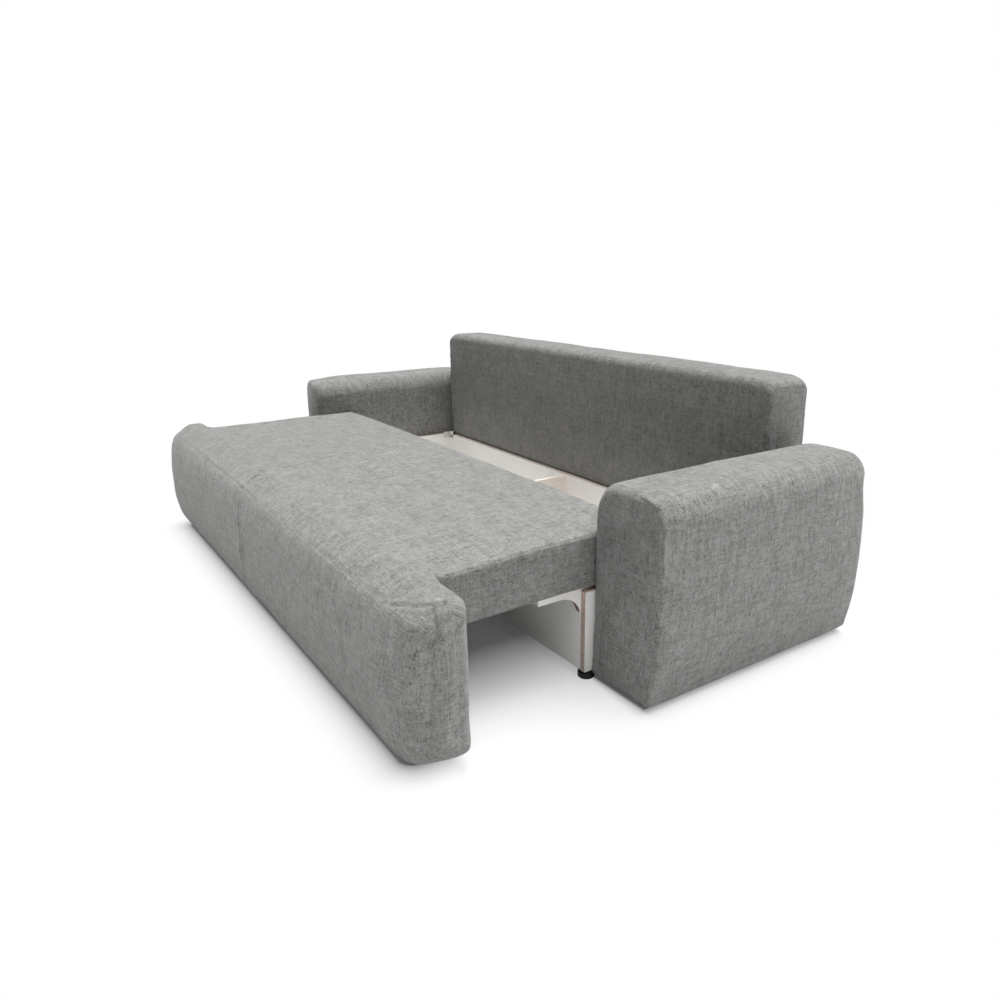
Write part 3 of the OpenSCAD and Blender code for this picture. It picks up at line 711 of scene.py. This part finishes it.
def top_height(x, y):
    """The crown of the cover's top over the seat, which runs on over the panel. Its right
    edge sags a little."""
    across = np.clip(1 - abs(x / 1.02) ** 6, 0, 1)
    rise = 0.5 + 0.5 * ease((y - JOIN_Y - 0.02) / 0.25)
    beside = ease((x - 0.88) / 0.11) * ease((y - JOIN_Y) / 0.045)
    sag = 0.016 - 0.011 * ease((y + 0.55) / 0.25)
    return SEAT_TOP + 0.008 * across * rise - sag * beside


def seam_x(y):
    """Where the cross seam lies over the seat, drifting to the left."""
    return SEAT_SEAM_X - 0.030 * ease((y + 0.74) / 0.06) - 0.25 * np.clip(y + 0.62, 0, 0.38)


def front_seam_x(z):
    """Where the cross seam lies down the panel's front, bowed to the right."""
    return SEAT_SEAM_X + 0.030 * np.sin(np.clip((z - 0.04) / 0.36, 0, 1) * math.pi)


def cross_seam_x(y, z):
    """Where the cross seam lies at any place: that of the seat, and lower the panel's."""
    high = ease((z - 0.30) / 0.10)
    return seam_x(y) * high + front_seam_x(z) * (1 - high)


def seat_lines():
    """The cover's lines across the seat, closer beside the cross seam."""
    flat = np.linspace(-WELD_HALF, WELD_HALF, int(round(2 * WELD_HALF / GRID_STEP)) + 1)
    near = SEAT_SEAM_X + np.array([-0.020, -0.012, -0.006, 0.0, 0.006, 0.012, 0.020])
    flat = flat[abs(flat - SEAT_SEAM_X) > 0.025]
    return np.sort(np.concatenate([flat, near]))


# The panel's outline, as depth in front of its back face and height, from bottom to top
PANEL_OUTLINE = [
    (0.014, 0.027), (0.060, 0.026), (0.112, 0.026), (0.139, 0.035), (0.152, 0.060),
    (0.160, 0.115), (0.163, 0.185), (0.161, 0.262), (0.154, 0.322), (0.145, 0.358),
    (0.135, 0.382), (0.119, 0.397), (0.092, 0.412), (0.064, 0.426),
]
ROLL_SEAM = (0.124, 0.394)
# The point of the cross seam, counted from its foot, whose x the roll's seam starts from
ROLL_START = 22
PANEL_BACK_STEPS = 16


def smooth_curve(points, step):
    """A Catmull-Rom curve through the points, at even steps."""
    p = np.asarray(points, float)
    p = np.concatenate([[2 * p[0] - p[1]], p, [2 * p[-1] - p[-2]]])
    fine = []
    for i in range(1, len(p) - 2):
        for t in np.linspace(0, 1, 12, endpoint=False):
            a, b, c, d = p[i - 1:i + 3]
            square = (2 * a - 5 * b + 4 * c - d) * t * t
            cube = (3 * b - a - 3 * c + d) * t ** 3
            fine.append(0.5 * (2 * b + (c - a) * t + square + cube))
    fine.append(p[-2])
    fine = np.array(fine)
    length = lengths_along(fine)
    count = int(round(length[-1] / step))
    even = np.linspace(0, length[-1], count + 1)
    return np.stack([np.interp(even, length, fine[:, a]) for a in range(2)], axis=1)


def panel_profile(x):
    """The panel's section at one place along it, from the bottom of its back face, round
    the front and over the top, and down its back. Past the seat its top corner rounds
    and its back swells."""
    top = float(top_height(np.array(x), np.array(JOIN_Y)))
    past = float(ease((abs(x) - SEAT_HIGH[0]) / 0.045))
    corner = PANEL_TOP_RADIUS * past
    if abs(x) > WELD_HALF:
        corner = max(corner, 0.0016)
    bulge = PANEL_BACK_BULGE * past
    # between the ends the cover stops short of the back board's rear face
    inset = PANEL_BACK_INSET * (1 - past)
    front = smooth_curve(PANEL_OUTLINE + [(0.044, top - 0.0008)], 0.012)
    turns = np.linspace(0, math.pi / 2, 6)
    rounding = [(corner * (1 - math.sin(turn)) - bulge, top - corner * (1 - math.cos(turn)))
                for turn in turns]
    flat = [(0.040, top - 0.0002)]
    heights = np.linspace(top - PANEL_TOP_RADIUS - 0.006, 0.045, PANEL_BACK_STEPS)
    back = [(inset - bulge, z) for z in heights]
    profile = np.concatenate([front, flat, rounding, back, [(0.002 + inset - 0.6 * bulge, 0.032)]])
    # towards the ends the bottom's front edge lifts and the front turns back
    lift = 0.020 * float(ease((abs(x) - 1.07) / 0.10))
    forward = 0.3 + 0.7 * ease((profile[:, 0] - 0.03) / 0.10)
    profile[:, 1] += lift * forward * ease((0.16 - profile[:, 1]) / 0.13)
    turn_back = max(0.0, (abs(x) - 1.03) / 0.14) ** 2 * (0.020 if x > 0 else 0.008)
    profile[:, 0] -= turn_back * ease((profile[:, 0] - 0.04) / 0.09)
    return np.stack([JOIN_Y - profile[:, 0], profile[:, 1]], axis=1), len(front) + 1


# The core of each form: the lowest and highest corner of a box in its middle, endless
# along the form. Its sections are drawn in towards the nearest places in that box.
PANEL_CORE = [(-FAR, JOIN_Y - 0.072, 0.108), (FAR, JOIN_Y - 0.072, 0.345)]
SEAT_CORE = [(-0.92, -FAR, 0.350), (0.92, FAR, 0.350)]


def seat_form(lines):
    """The seat's part of the cover, open towards the panel."""
    half, low, high = SEAT_HIGH[0], SEAT_LOW[2], SEAT_TOP
    radii = [SEAT_LOW_RADIUS, SEAT_LOW_RADIUS, SEAT_TOP_RADIUS, SEAT_TOP_RADIUS]
    outline = rounded_box((-half, low), (half, high), radii, half - lines[::-1][1:-1], 0.006)
    rear = SEAT_HIGH[1] - 0.0095
    places = np.linspace(JOIN_Y, rear - SEAT_REAR_RADIUS, 41)
    stations = [(y, 0.0) for y in places] + end_stations(rear, SEAT_REAR_RADIUS, 6, 1)
    rings = [draw_in(1, outline, SEAT_CORE, y, inset) for y, inset in stations]
    for ring in rings:
        share = ease((ring[:, 2] - (high - 0.08)) / 0.08)
        ring[:, 2] += share * (top_height(ring[:, 0], ring[:, 1]) - SEAT_TOP)
    below_top = outline[:, 1] <= high - 0.0001
    rings[0][below_top, 1] -= 0.006
    return skin(1, rings, SEAT_CORE, 0.006, ends=(False, True))


def panel_form(lines):
    """The panel's part of the cover, closed at both ends."""
    # past the seat the stations close up towards the rounded end
    end = PANEL_HIGH[0] - 0.002
    past = [0.9895, 0.995, 1.0, 1.006, 1.014, 1.023, 1.034, 1.046]
    past += list(np.linspace(1.058, end - PANEL_END_RADIUS, 6))
    right = [(x, 0.0) for x in past] + end_stations(end, PANEL_END_RADIUS, 9, 1)
    left = [(-x, inset) for x, inset in right[::-1]]
    rings = []
    for x, inset in left + [(x, 0.0) for x in lines] + right:
        profile, top_rows = panel_profile(x)
        rings.append(draw_in(0, profile, PANEL_CORE, x, inset))
    count = len(rings[0])

    def behind_cover(a, b, n):
        """The joint with the seat stays open behind the cover."""
        inside = abs((a[0] + b[0]) / 2) < WELD_HALF
        return inside and top_rows + 5 <= n < count - 1 and a[2] > SEAT_LOW[2] + 0.02

    return skin(0, rings, PANEL_CORE, 0.012, hidden=behind_cover)


def seat_unit():
    """The cover of the seat and the panel as one mesh."""
    lines = seat_lines()
    seat_points, seat_quads, seat_weave = seat_form(lines)
    panel_points, panel_quads, panel_weave = panel_form(lines)
    points = np.concatenate([seat_points, panel_points])
    quads = np.concatenate([seat_quads, panel_quads + len(seat_points)])
    # the two forms run crosswise, so the seat's places on the cloth are turned
    weave = np.concatenate([seat_weave[:, :, ::-1], panel_weave])
    obj = new_object("seat_and_panel_cloth", points, quads, weave)
    mesh = bmesh.new()
    mesh.from_mesh(obj.data)
    bmesh.ops.remove_doubles(mesh, verts=mesh.verts, dist=WELD_DISTANCE)
    mesh.to_mesh(obj.data)
    mesh.free()
    return obj


def as_cover(obj, body, fill, *nodes):
    """Sets an upholstered piece in the place of its solids."""
    finish_with(obj, CLOTH)
    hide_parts(*nodes)
    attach(obj, body)


def as_thread(obj, body):
    """Sets a row of stitches on the cover that it is sewn into."""
    finish_with(obj, THREAD)
    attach(obj, body)


def cross_seam(surface):
    """The seam up the panel's front, over its roll and back over the seat."""
    y = np.linspace(-0.60, -0.10, 60)
    top = np.stack([seam_x(y), y, top_height(seam_x(y), y)], axis=1)
    profile = smooth_curve([(JOIN_Y - d, z) for d, z in PANEL_OUTLINE[3:]], 0.01)
    y, z = profile.T
    front = np.stack([cross_seam_x(y, z), y, z], axis=1)
    return Seam(np.concatenate([front, top]), surface)


def roll_puff(points):
    """How far the cover swells over the roll, to the right of the cross seam."""
    right_of = points[:, 0] - seam_x(points[:, 1])
    near_roll = bump(points[:, 1] + 0.66, 0.14) * ease((points[:, 2] - 0.34) / 0.06)
    return 0.0050 * bump(right_of - 0.035, 0.035) * ease(right_of / 0.02) * near_roll


SOFT_FOLD = [(0.841, -0.725, 0.43), (0.849, -0.634, 0.43), (0.812, -0.560, 0.43),
             (0.735, -0.490, 0.43), (0.690, -0.400, 0.43)]


def fold_ridge(points, surface):
    """How far the soft fold by the seat's right end stands up."""
    distance, along = Seam(SOFT_FOLD, surface).near(points, 0.12)
    return 0.0042 * bump(distance, 0.020) * ease(along / 0.1) * ease((0.36 - along) / 0.16)


# Seams at the panel's right end, as x, y from the joint with the seat, and height
ROLL_END = [(1.075, -0.102, 0.403), (1.103, -0.096, 0.409), (1.124, -0.086, 0.415),
            (1.138, -0.071, 0.420)]
END_SEAM = [(1.140, -0.072, 0.419), (1.160, -0.078, 0.395), (1.172, -0.081, 0.366),
            (1.178, -0.093, 0.326), (1.177, -0.102, 0.270), (1.177, -0.100, 0.130)]
END_CREASE = [(1.137, -0.035, 0.427), (1.148, -0.029, 0.423), (1.162, -0.030, 0.412),
              (1.171, -0.035, 0.388), (1.173, -0.039, 0.354)]


def at_end(places, sign):
    """Places of a seam at the panel's right end, or with sign -1 at its left one."""
    return [(sign * x, JOIN_Y + y, height) for x, y, height in places]


def edge_seam(sign, surface):
    """The seam along the seat's upper edge, right or left."""
    y = np.linspace(JOIN_Y + 0.010, SEAT_HIGH[1] - 0.03, 40)
    x = np.full(40, sign * SEAT_HIGH[0])
    return Seam(np.stack([x, y, top_height(x, y) - 0.001], axis=1), surface)


def roll_seam(sign, surface, start_x):
    """The seam along the panel's roll from the cross seam to an end, and over it."""
    places = [(x, JOIN_Y - ROLL_SEAM[0], ROLL_SEAM[1])
              for x in np.linspace(start_x + sign * 0.02, sign * 1.04, 40)]
    return Seam(places + at_end(ROLL_END, sign), surface)


def settle_seat(obj):
    """Moves the cover to its seams, the drift of the cross seam, and a soft fold.

    Returns the surface and the seams that are sewn with a visible thread."""
    mesh = obj.data
    points = read(mesh, "co")
    drift = cross_seam_x(points[:, 1], points[:, 2]) - SEAT_SEAM_X
    points[:, 0] += drift * bump(points[:, 0] - SEAT_SEAM_X, 0.42)
    write_points(mesh, points)
    finer(obj)
    cover = Cover(obj, 1)
    points = cover.points
    surface = surface_of(cover.mesh)
    x, y, z = points.T
    cross = cross_seam(surface)
    weaker_behind = 1 - 0.70 * ease((y + 0.50) / 0.3)
    uneven = weaker_behind * (0.75 + 0.6 * field(points, 0.05, 4))
    cover.sew(cross, 0.0058, 0.0050, 0.0030, 0.0022, 3, uneven)
    cover.push(roll_puff(points) + fold_ridge(points, surface))
    sewn = [cross]
    for sign in (-1, 1):
        edge = edge_seam(sign, surface)
        cover.sew(edge, 0.0016, 0.0030, 0.0006, 0.0008, 5 + sign)
        roll = roll_seam(sign, surface, cross.points[ROLL_START, 0])
        uneven = 0.65 + 0.45 * field(points, 0.07, 31) + 0.25 * ease((sign * x - 0.98) / 0.05)
        cover.sew(roll, 0.0040, 0.0032, 0.0022, 0.0014, 30, uneven)
        down = Seam(at_end(END_SEAM, sign), surface)
        fading = 0.25 + 0.75 * ease((z - 0.30) / 0.08)
        cover.sew(down, 0.0026, 0.0040, 0.0010, 0.0010, 13 + sign, fading)
        crease = Seam(at_end(END_CREASE, sign), surface)
        cover.sew(crease, 0.0024, 0.0050, 0.0010, 0.0006, 17 + sign)
        sewn += [edge, roll]
    cover.settle()
    return surface_of(cover.mesh), sewn


seat_cover = seat_unit()
seat_surface, seat_seams = settle_seat(seat_cover)
as_cover(seat_cover, "seat", 0.85, "seat_cushion", "panel_cover")
as_thread(stitches("seat_stitches", seat_surface, seat_seams), "seat")


# The arms
ARM_TOP_RADIUS_IN = 0.062
ARM_TOP_RADIUS_OUT = 0.056
ARM_EDGE_RADIUS = 0.009
ARM_FRONT_RADIUS = 0.034
ARM_REAR_RADIUS = 0.032


ARM_MIDDLE = (ARM_LOW[0] + ARM_HIGH[0]) / 2
ARM_CORE = [(ARM_MIDDLE, -FAR, ARM_LOW[2] + 0.10), (ARM_MIDDLE, FAR, ARM_HIGH[2] - 0.13)]
# The part of an arm's length over which its join seam runs, with closer lines
ARM_JOIN_FRONT = 0.222
ARM_JOIN_REAR = 0.332
ARM_JOIN_STEP = 0.008


def arm_rings(low, high):
    """An arm's sections from front to rear, each point with its own rounding at the ends."""
    radii = [0.006, 0.006, ARM_TOP_RADIUS_OUT, ARM_TOP_RADIUS_IN]
    outline = rounded_box(low[::2], high[::2], radii)
    x, z = outline.T
    front, rear = low[1], high[1]
    # the front is sewn to the side in a sharp edge, and rolls over into the top
    upper = ease((z - (high[2] - 0.09)) / 0.07)
    inner = ease((high[0] - 0.03 - x) / 0.10)
    front_radii = ARM_EDGE_RADIUS + (ARM_FRONT_RADIUS - ARM_EDGE_RADIUS) * upper * inner
    front_radii += 0.008 * (1 - upper) * inner * ease((z - 0.08) / 0.1)
    above_foot = ease((z - 0.06) / 0.12)
    rear_radii = ARM_EDGE_RADIUS + (ARM_REAR_RADIUS - ARM_EDGE_RADIUS) * above_foot
    places = np.linspace(front + ARM_FRONT_RADIUS + 0.004, rear - ARM_REAR_RADIUS - 0.004, 50)
    beside_join = (places < ARM_JOIN_FRONT - 0.008) | (places > ARM_JOIN_REAR + 0.006)
    join_places = np.arange(ARM_JOIN_FRONT, ARM_JOIN_REAR, ARM_JOIN_STEP)
    foremost = [front + ARM_EDGE_RADIUS + 0.012]
    rings = end_rings(1, outline, ARM_CORE, front, front_radii, 7, -1)
    for y in np.sort(np.concatenate([foremost, places[beside_join], join_places])):
        ring = np.insert(outline, 1, y, axis=1)
        ring[:, 1] = np.maximum(ring[:, 1], front + front_radii + 0.001)
        rings.append(ring)
    return rings + end_rings(1, outline, ARM_CORE, rear, rear_radii, 7, 1)


def crown_arm(points, low, high, is_left):
    """Crowns an arm's top and sides. u runs rearwards from -1, v outwards and w upwards from 0."""
    u = (points[:, 1] - (low[1] + high[1]) / 2) / ((high[1] - low[1]) / 2)
    v = (points[:, 0] - low[0]) / (high[0] - low[0])
    w = (points[:, 2] - low[2]) / (high[2] - low[2])
    flat = np.clip(1 - abs(u) ** 3.5, 0, 1)
    full = np.where(u > 0, np.clip(1 - abs(u) ** 9, 0, 1) ** 0.5, 0.45 + 0.55 * flat ** 0.7)
    belly = np.clip(np.sin(math.pi * np.clip(w, 0, 1) ** 0.85), 0, 1)
    outer = ease(v / 0.9)
    across = np.clip(1 - abs(2 * v - 1) ** 3, 0.25, 1)
    top_across = np.clip(1 - abs(2 * v - 1) ** 2.6, 0, 1)
    rear_bulge = (0.05 + 0.95 * belly ** 0.8) * (1 - 0.92 * ease((w - 0.62) / 0.24))
    points[:, 0] += 0.014 * full * (0.25 + 0.75 * belly) * outer
    points[:, 0] -= 0.022 * ease((0.30 - w) / 0.30) * outer
    points[:, 0] -= 0.007 * ease((u - 0.5) / 0.4) * ease((w - 0.68) / 0.2) * outer
    points[:, 1] += 0.030 * ease((u - 0.6) / 0.4) * rear_bulge * across
    points[:, 1] -= 0.006 * ease((-u - 0.7) / 0.3) * belly * across
    points[:, 2] += 0.014 * ease((w - 0.6) / 0.35) * top_across * (0.65 + 0.35 * flat)
    if is_left:
        # this arm's top lies lower, most at its front outer corner, which is pushed back
        at_front = ease((-u - 0.6) / 0.4)
        points[:, 1] += 0.038 * at_front * ease((v - 0.15) / 0.85)
        drop = 0.005 + 0.009 * ease((v - 0.5) / 0.5) * at_front
        points[:, 2] -= drop * ease((w - 0.8) / 0.2)


# Seams of the right arm: round the front's patch, and where two widths of cloth join
ARM_PATCH_SEAM = [
    (1.110, -0.120, 0.566), (1.165, -0.124, 0.566), (1.206, -0.126, 0.561),
    (1.236, -0.126, 0.545), (1.254, -0.126, 0.512), (1.260, -0.126, 0.440),
    (1.260, -0.126, 0.331), (1.250, -0.126, 0.200), (1.236, -0.126, 0.060),
]
ARM_JOIN_SEAM = [(1.250, 0.237, 0.556), (1.258, 0.262, 0.470), (1.260, 0.297, 0.377),
                 (1.258, 0.310, 0.300), (1.252, 0.316, 0.232)]


def settle_arm(obj, seed):
    """The front patch's seam, the puckered top seam and the join of an arm's cover."""
    cover = Cover(obj, seed)
    x, y, z = cover.points.T
    patch = Seam(ARM_PATCH_SEAM)
    strength = (0.30 + 0.70 * ease((z - 0.24) / 0.2)) * ease((x - 1.11) / 0.05)
    cover.sew(patch, 0.0034, 0.0034, 0.0010, 0.0012, seed, strength)
    # the front is drawn in beside its seam at the upper corner
    beside, _ = patch.near(cover.points, 0.12)
    dent = ease((-y - 0.112) / 0.008) * bump(beside - 0.022, 0.016) * ease((z - 0.38) / 0.1)
    cover.move[:, 1] += 0.0035 * dent * ease((x - 1.14) / 0.05)
    seam_y = np.linspace(-0.115, 0.66, 60)
    seam_z = 0.547 - 0.014 * bump(seam_y + 0.03, 0.035)
    top_edge = Seam(np.stack([np.full(60, 1.244), seam_y, seam_z], axis=1))
    strength = 0.05 + 0.9 * bump(y + 0.04, 0.05) + 0.35 * bump(y - 0.30, 0.05)
    cover.sew(top_edge, 0.0036, 0.0060, 0.0016, 0.0026, seed + 4, strength)
    strength = ease((z - 0.22) / 0.15)
    cover.sew(Seam(ARM_JOIN_SEAM), 0.0022, 0.0055, 0.0016, 0.0010, seed + 8, strength)
    cover.settle()


def arm_cover(side, sign):
    """An arm's cover, made in the space of the right arm and mirrored for the left one."""
    low = ARM_LOW + [0.0005, 0.006, -0.004]
    high = ARM_HIGH - [0.004, 0.014, 0.014]
    points, quads, weave = skin(1, arm_rings(low, high), ARM_CORE, 0.006)
    crown_arm(points, low, high, sign < 0)
    obj = new_object(f"arm_{side}_cloth", points, quads, weave)
    finer(obj)
    settle_arm(obj, 20 if sign > 0 else 40)
    if sign < 0:
        write_points(obj.data, read(obj.data, "co") * [-1, 1, 1])
        obj.data.flip_normals()
    return obj


for side, sign in (("right", 1), ("left", -1)):
    as_cover(arm_cover(side, sign), "frame", 0.8, f"arm_cover_{side}")


# The backrest
BACK_MIDDLE = (BACK_LOW[1] + BACK_HIGH[1]) / 2
BACK_CORE = [(-FAR, BACK_MIDDLE, BACK_LOW[2] + 0.09), (FAR, BACK_MIDDLE, BACK_HIGH[2] - 0.09)]
BACK_END_RADIUS = 0.016


def back_rings(low, high):
    """The backrest's sections from left to right."""
    outline = rounded_box(low[1:], high[1:], [0.010, 0.014, 0.034, 0.030])
    places = np.linspace(low[0] + BACK_END_RADIUS, high[0] - BACK_END_RADIUS, 130)
    stations = end_stations(low[0], BACK_END_RADIUS, 7, -1) + [(x, 0.0) for x in places]
    stations += end_stations(high[0], BACK_END_RADIUS, 7, 1)
    return [draw_in(0, outline, BACK_CORE, x, inset) for x, inset in stations]


def crown_back(points, low, high):
    """Crowns the backrest's top, faces and ends. u runs from left to right from -1, v
    rearwards and w upwards from 0."""
    u = points[:, 0] / high[0]
    v = (points[:, 1] - low[1]) / (high[1] - low[1])
    w = (points[:, 2] - low[2]) / (high[2] - low[2])
    flat = np.clip(1 - abs(u) ** 6, 0, 1)
    belly = np.clip(np.sin(math.pi * np.clip(w, 0, 1)), 0, 1)
    crown = (0.005 + 0.003 * u) * (0.45 + 0.55 * flat) * np.clip(1 - abs(2 * v - 1) ** 3, 0, 1)
    corner_drop = 0.014 * ease((abs(u) - 0.94) / 0.06) ** 2
    rear_bulge = 0.010 * ease((v - 0.5) / 0.5) * (0.3 + 0.7 * flat)
    end_bulge = (0.004 - 0.004 * u) * ease((abs(u) - 0.9) / 0.1)
    points[:, 2] += crown * ease((w - 0.7) / 0.3) - corner_drop * ease((w - 0.8) / 0.2)
    points[:, 1] += rear_bulge * (0.2 + 0.8 * belly) - 0.008 * ease((0.5 - v) / 0.5) * belly * flat
    points[:, 0] += np.sign(u) * end_bulge * belly


def back_cover():
    """The backrest's cover, with a seam round the front of each end."""
    low, high = BACK_LOW, BACK_HIGH
    points, quads, weave = skin(0, back_rings(low, high), BACK_CORE, 0.004)
    crown_back(points, low, high)
    obj = new_object("backrest_cloth", points, quads, weave)
    finer(obj)
    cover = Cover(obj, 60)
    front = low[1]
    for sign in (-1, 1):
        x = sign * (high[0] + 0.002)
        edge = Seam([(x, front + 0.006, 0.300), (x, front - 0.002, 0.500),
                     (x, front + 0.004, 0.700), (x, front + 0.030, 0.744),
                     (x, front + 0.090, 0.756), (x, front + 0.150, 0.746)])
        cover.sew(edge, 0.0024, 0.0050, 0.0012, 0.0012, 70 + sign)
    cover.settle()
    return obj


back = back_cover()
as_cover(back, "backrest", 0.85, "backrest_cushion")
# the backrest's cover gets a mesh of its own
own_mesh(back)


# Floor, light and camera
# Places where the floor keeps its shadow: half width, front and rear, then the width and
# depth over which it fades to white, the share of them that stays dark, and the power
SHADOW_PLACES = (
    (1.035, -0.67, -0.60, 0.10, 0.12, 0.42, 0.5),
    (1.205, -0.11, 0.71, 0.10, 0.08, 0.0, 0.5),
    (0.660, -0.60, -0.10, 0.70, 0.08, 0.0, 1.0),
)


def faded(s, split, half, front, rear, width, depth, dark, power):
    """How far the floor has faded to white beside one of the places with a shadow."""
    beside = s.math("MAXIMUM", s.math("SUBTRACT", s.math("ABSOLUTE", split.outputs[0]), half), 0.0)
    before = s.math("SUBTRACT", front, split.outputs[1])
    behind = s.math("SUBTRACT", split.outputs[1], rear)
    along = s.math("MAXIMUM", s.math("MAXIMUM", before, behind), 0.0)
    across_share = s.math("POWER", s.math("DIVIDE", beside, width), 2)
    along_share = s.math("POWER", s.math("DIVIDE", along, depth), 2)
    share = s.math("SUBTRACT", s.math("SQRT", s.math("ADD", across_share, along_share)), dark)
    return s.math("POWER", s.math("MAXIMUM", share, 0.0), power)


def add_floor():
    """A white floor that keeps the shadow under the sofa. A painted white glow covers more of its
    shading the farther it lies from the sofa, so the shadow runs out into pure white.
    """
    size = 14.0
    mesh = bmesh.new()
    bmesh.ops.create_grid(mesh, x_segments=4, y_segments=4, size=size)
    data = bpy.data.meshes.new("floor")
    mesh.to_mesh(data)
    mesh.free()
    floor = bpy.data.objects.new("floor", data)
    floor.location.z = -0.0005
    scene.collection.objects.link(floor)
    s = Shade("pale_floor")
    place = s.place()
    cloud = s.noise(place, 3.0, 3)
    camera_ray = s.add("ShaderNodeLightPath").outputs["Is Camera Ray"]
    seen_tint = s.mix(cloud, (0.61, 0.61, 0.61), (0.63, 0.63, 0.63))
    mixed = s.mix(camera_ray, (0.78, 0.78, 0.78), seen_tint)
    s.set(Base_Color=mixed, Roughness=0.9, Specular_IOR_Level=0.1)
    split = s.add("ShaderNodeSeparateXYZ", {0: place})
    clear = 1.0
    for shadow_place in SHADOW_PLACES:
        clear = s.math("MINIMUM", faded(s, split, *shadow_place), clear)
    clear = s.range(clear, 0.0, 1.0, 0.06, 1.0)
    # painted light: a white glow that only the camera sees, which fades the floor's shadow out away
    # from the sofa
    white = s.add("ShaderNodeEmission", {"Strength": 1.0}).outputs[0]
    share = s.math("MULTIPLY", clear, camera_ray)
    blend = s.add("ShaderNodeMixShader", {0: share, 1: s.shader.outputs[0], 2: white})
    s.put(s.tree.nodes["Material Output"].inputs["Surface"], blend.outputs[0])
    finish_with(floor, s.material)


def add_world(level):
    """A dim sky, which the camera and shiny surfaces see as white."""
    world = bpy.data.worlds.new("studio")
    scene.world = world
    world.use_nodes = True
    s = Nodes(world.node_tree)
    rays = s.add("ShaderNodeLightPath").outputs
    shiny = s.math("MAXIMUM", rays["Is Glossy Ray"], rays["Is Transmission Ray"])
    seen = s.math("MAXIMUM", rays["Is Camera Ray"], shiny)
    background = s.tree.nodes["Background"].inputs
    s.put(background["Strength"], s.range(seen, 0.0, 1.0, level, 1.0))
    s.put(background["Color"], (1, 1, 1, 1))


def add_sky_light(name, source, spread, power):
    """A broad far light. source is where it comes from, spread its width in degrees."""
    light = bpy.data.lights.new(name, "SUN")
    light.angle = math.radians(spread)
    light.energy = power
    obj = bpy.data.objects.new(name, light)
    obj.rotation_euler = Vector(source).to_track_quat("Z", "Y").to_euler()
    scene.collection.objects.link(obj)


def add_camera():
    """The photograph's camera, fitted to the sofa's edges. Angles in degrees."""
    turn, tilt = 54.38, 17.84
    camera = bpy.data.cameras.new("camera")
    camera.lens = 28.11
    camera.sensor_width = 36
    camera.shift_x = -0.0472
    camera.shift_y = 0.0117
    obj = bpy.data.objects.new("camera", camera)
    obj.location = (2.495, -1.342, 1.106)
    obj.rotation_euler = (math.radians(90 - tilt), 0, math.radians(turn))
    scene.collection.objects.link(obj)
    scene.camera = obj


add_floor()
add_world(0.01)
add_sky_light("overhead", (0.0, 0.36, 1.0), 45, 4.30)
add_sky_light("right_top", (0.40, 0.0, 1.0), 45, 1.45)
add_sky_light("left_top", (-0.36, 0.0, 1.0), 45, 1.05)
add_sky_light("front_top", (0.0, -0.8, 1.0), 60, 0.32)
add_camera()
scene.view_settings.view_transform = "Standard"
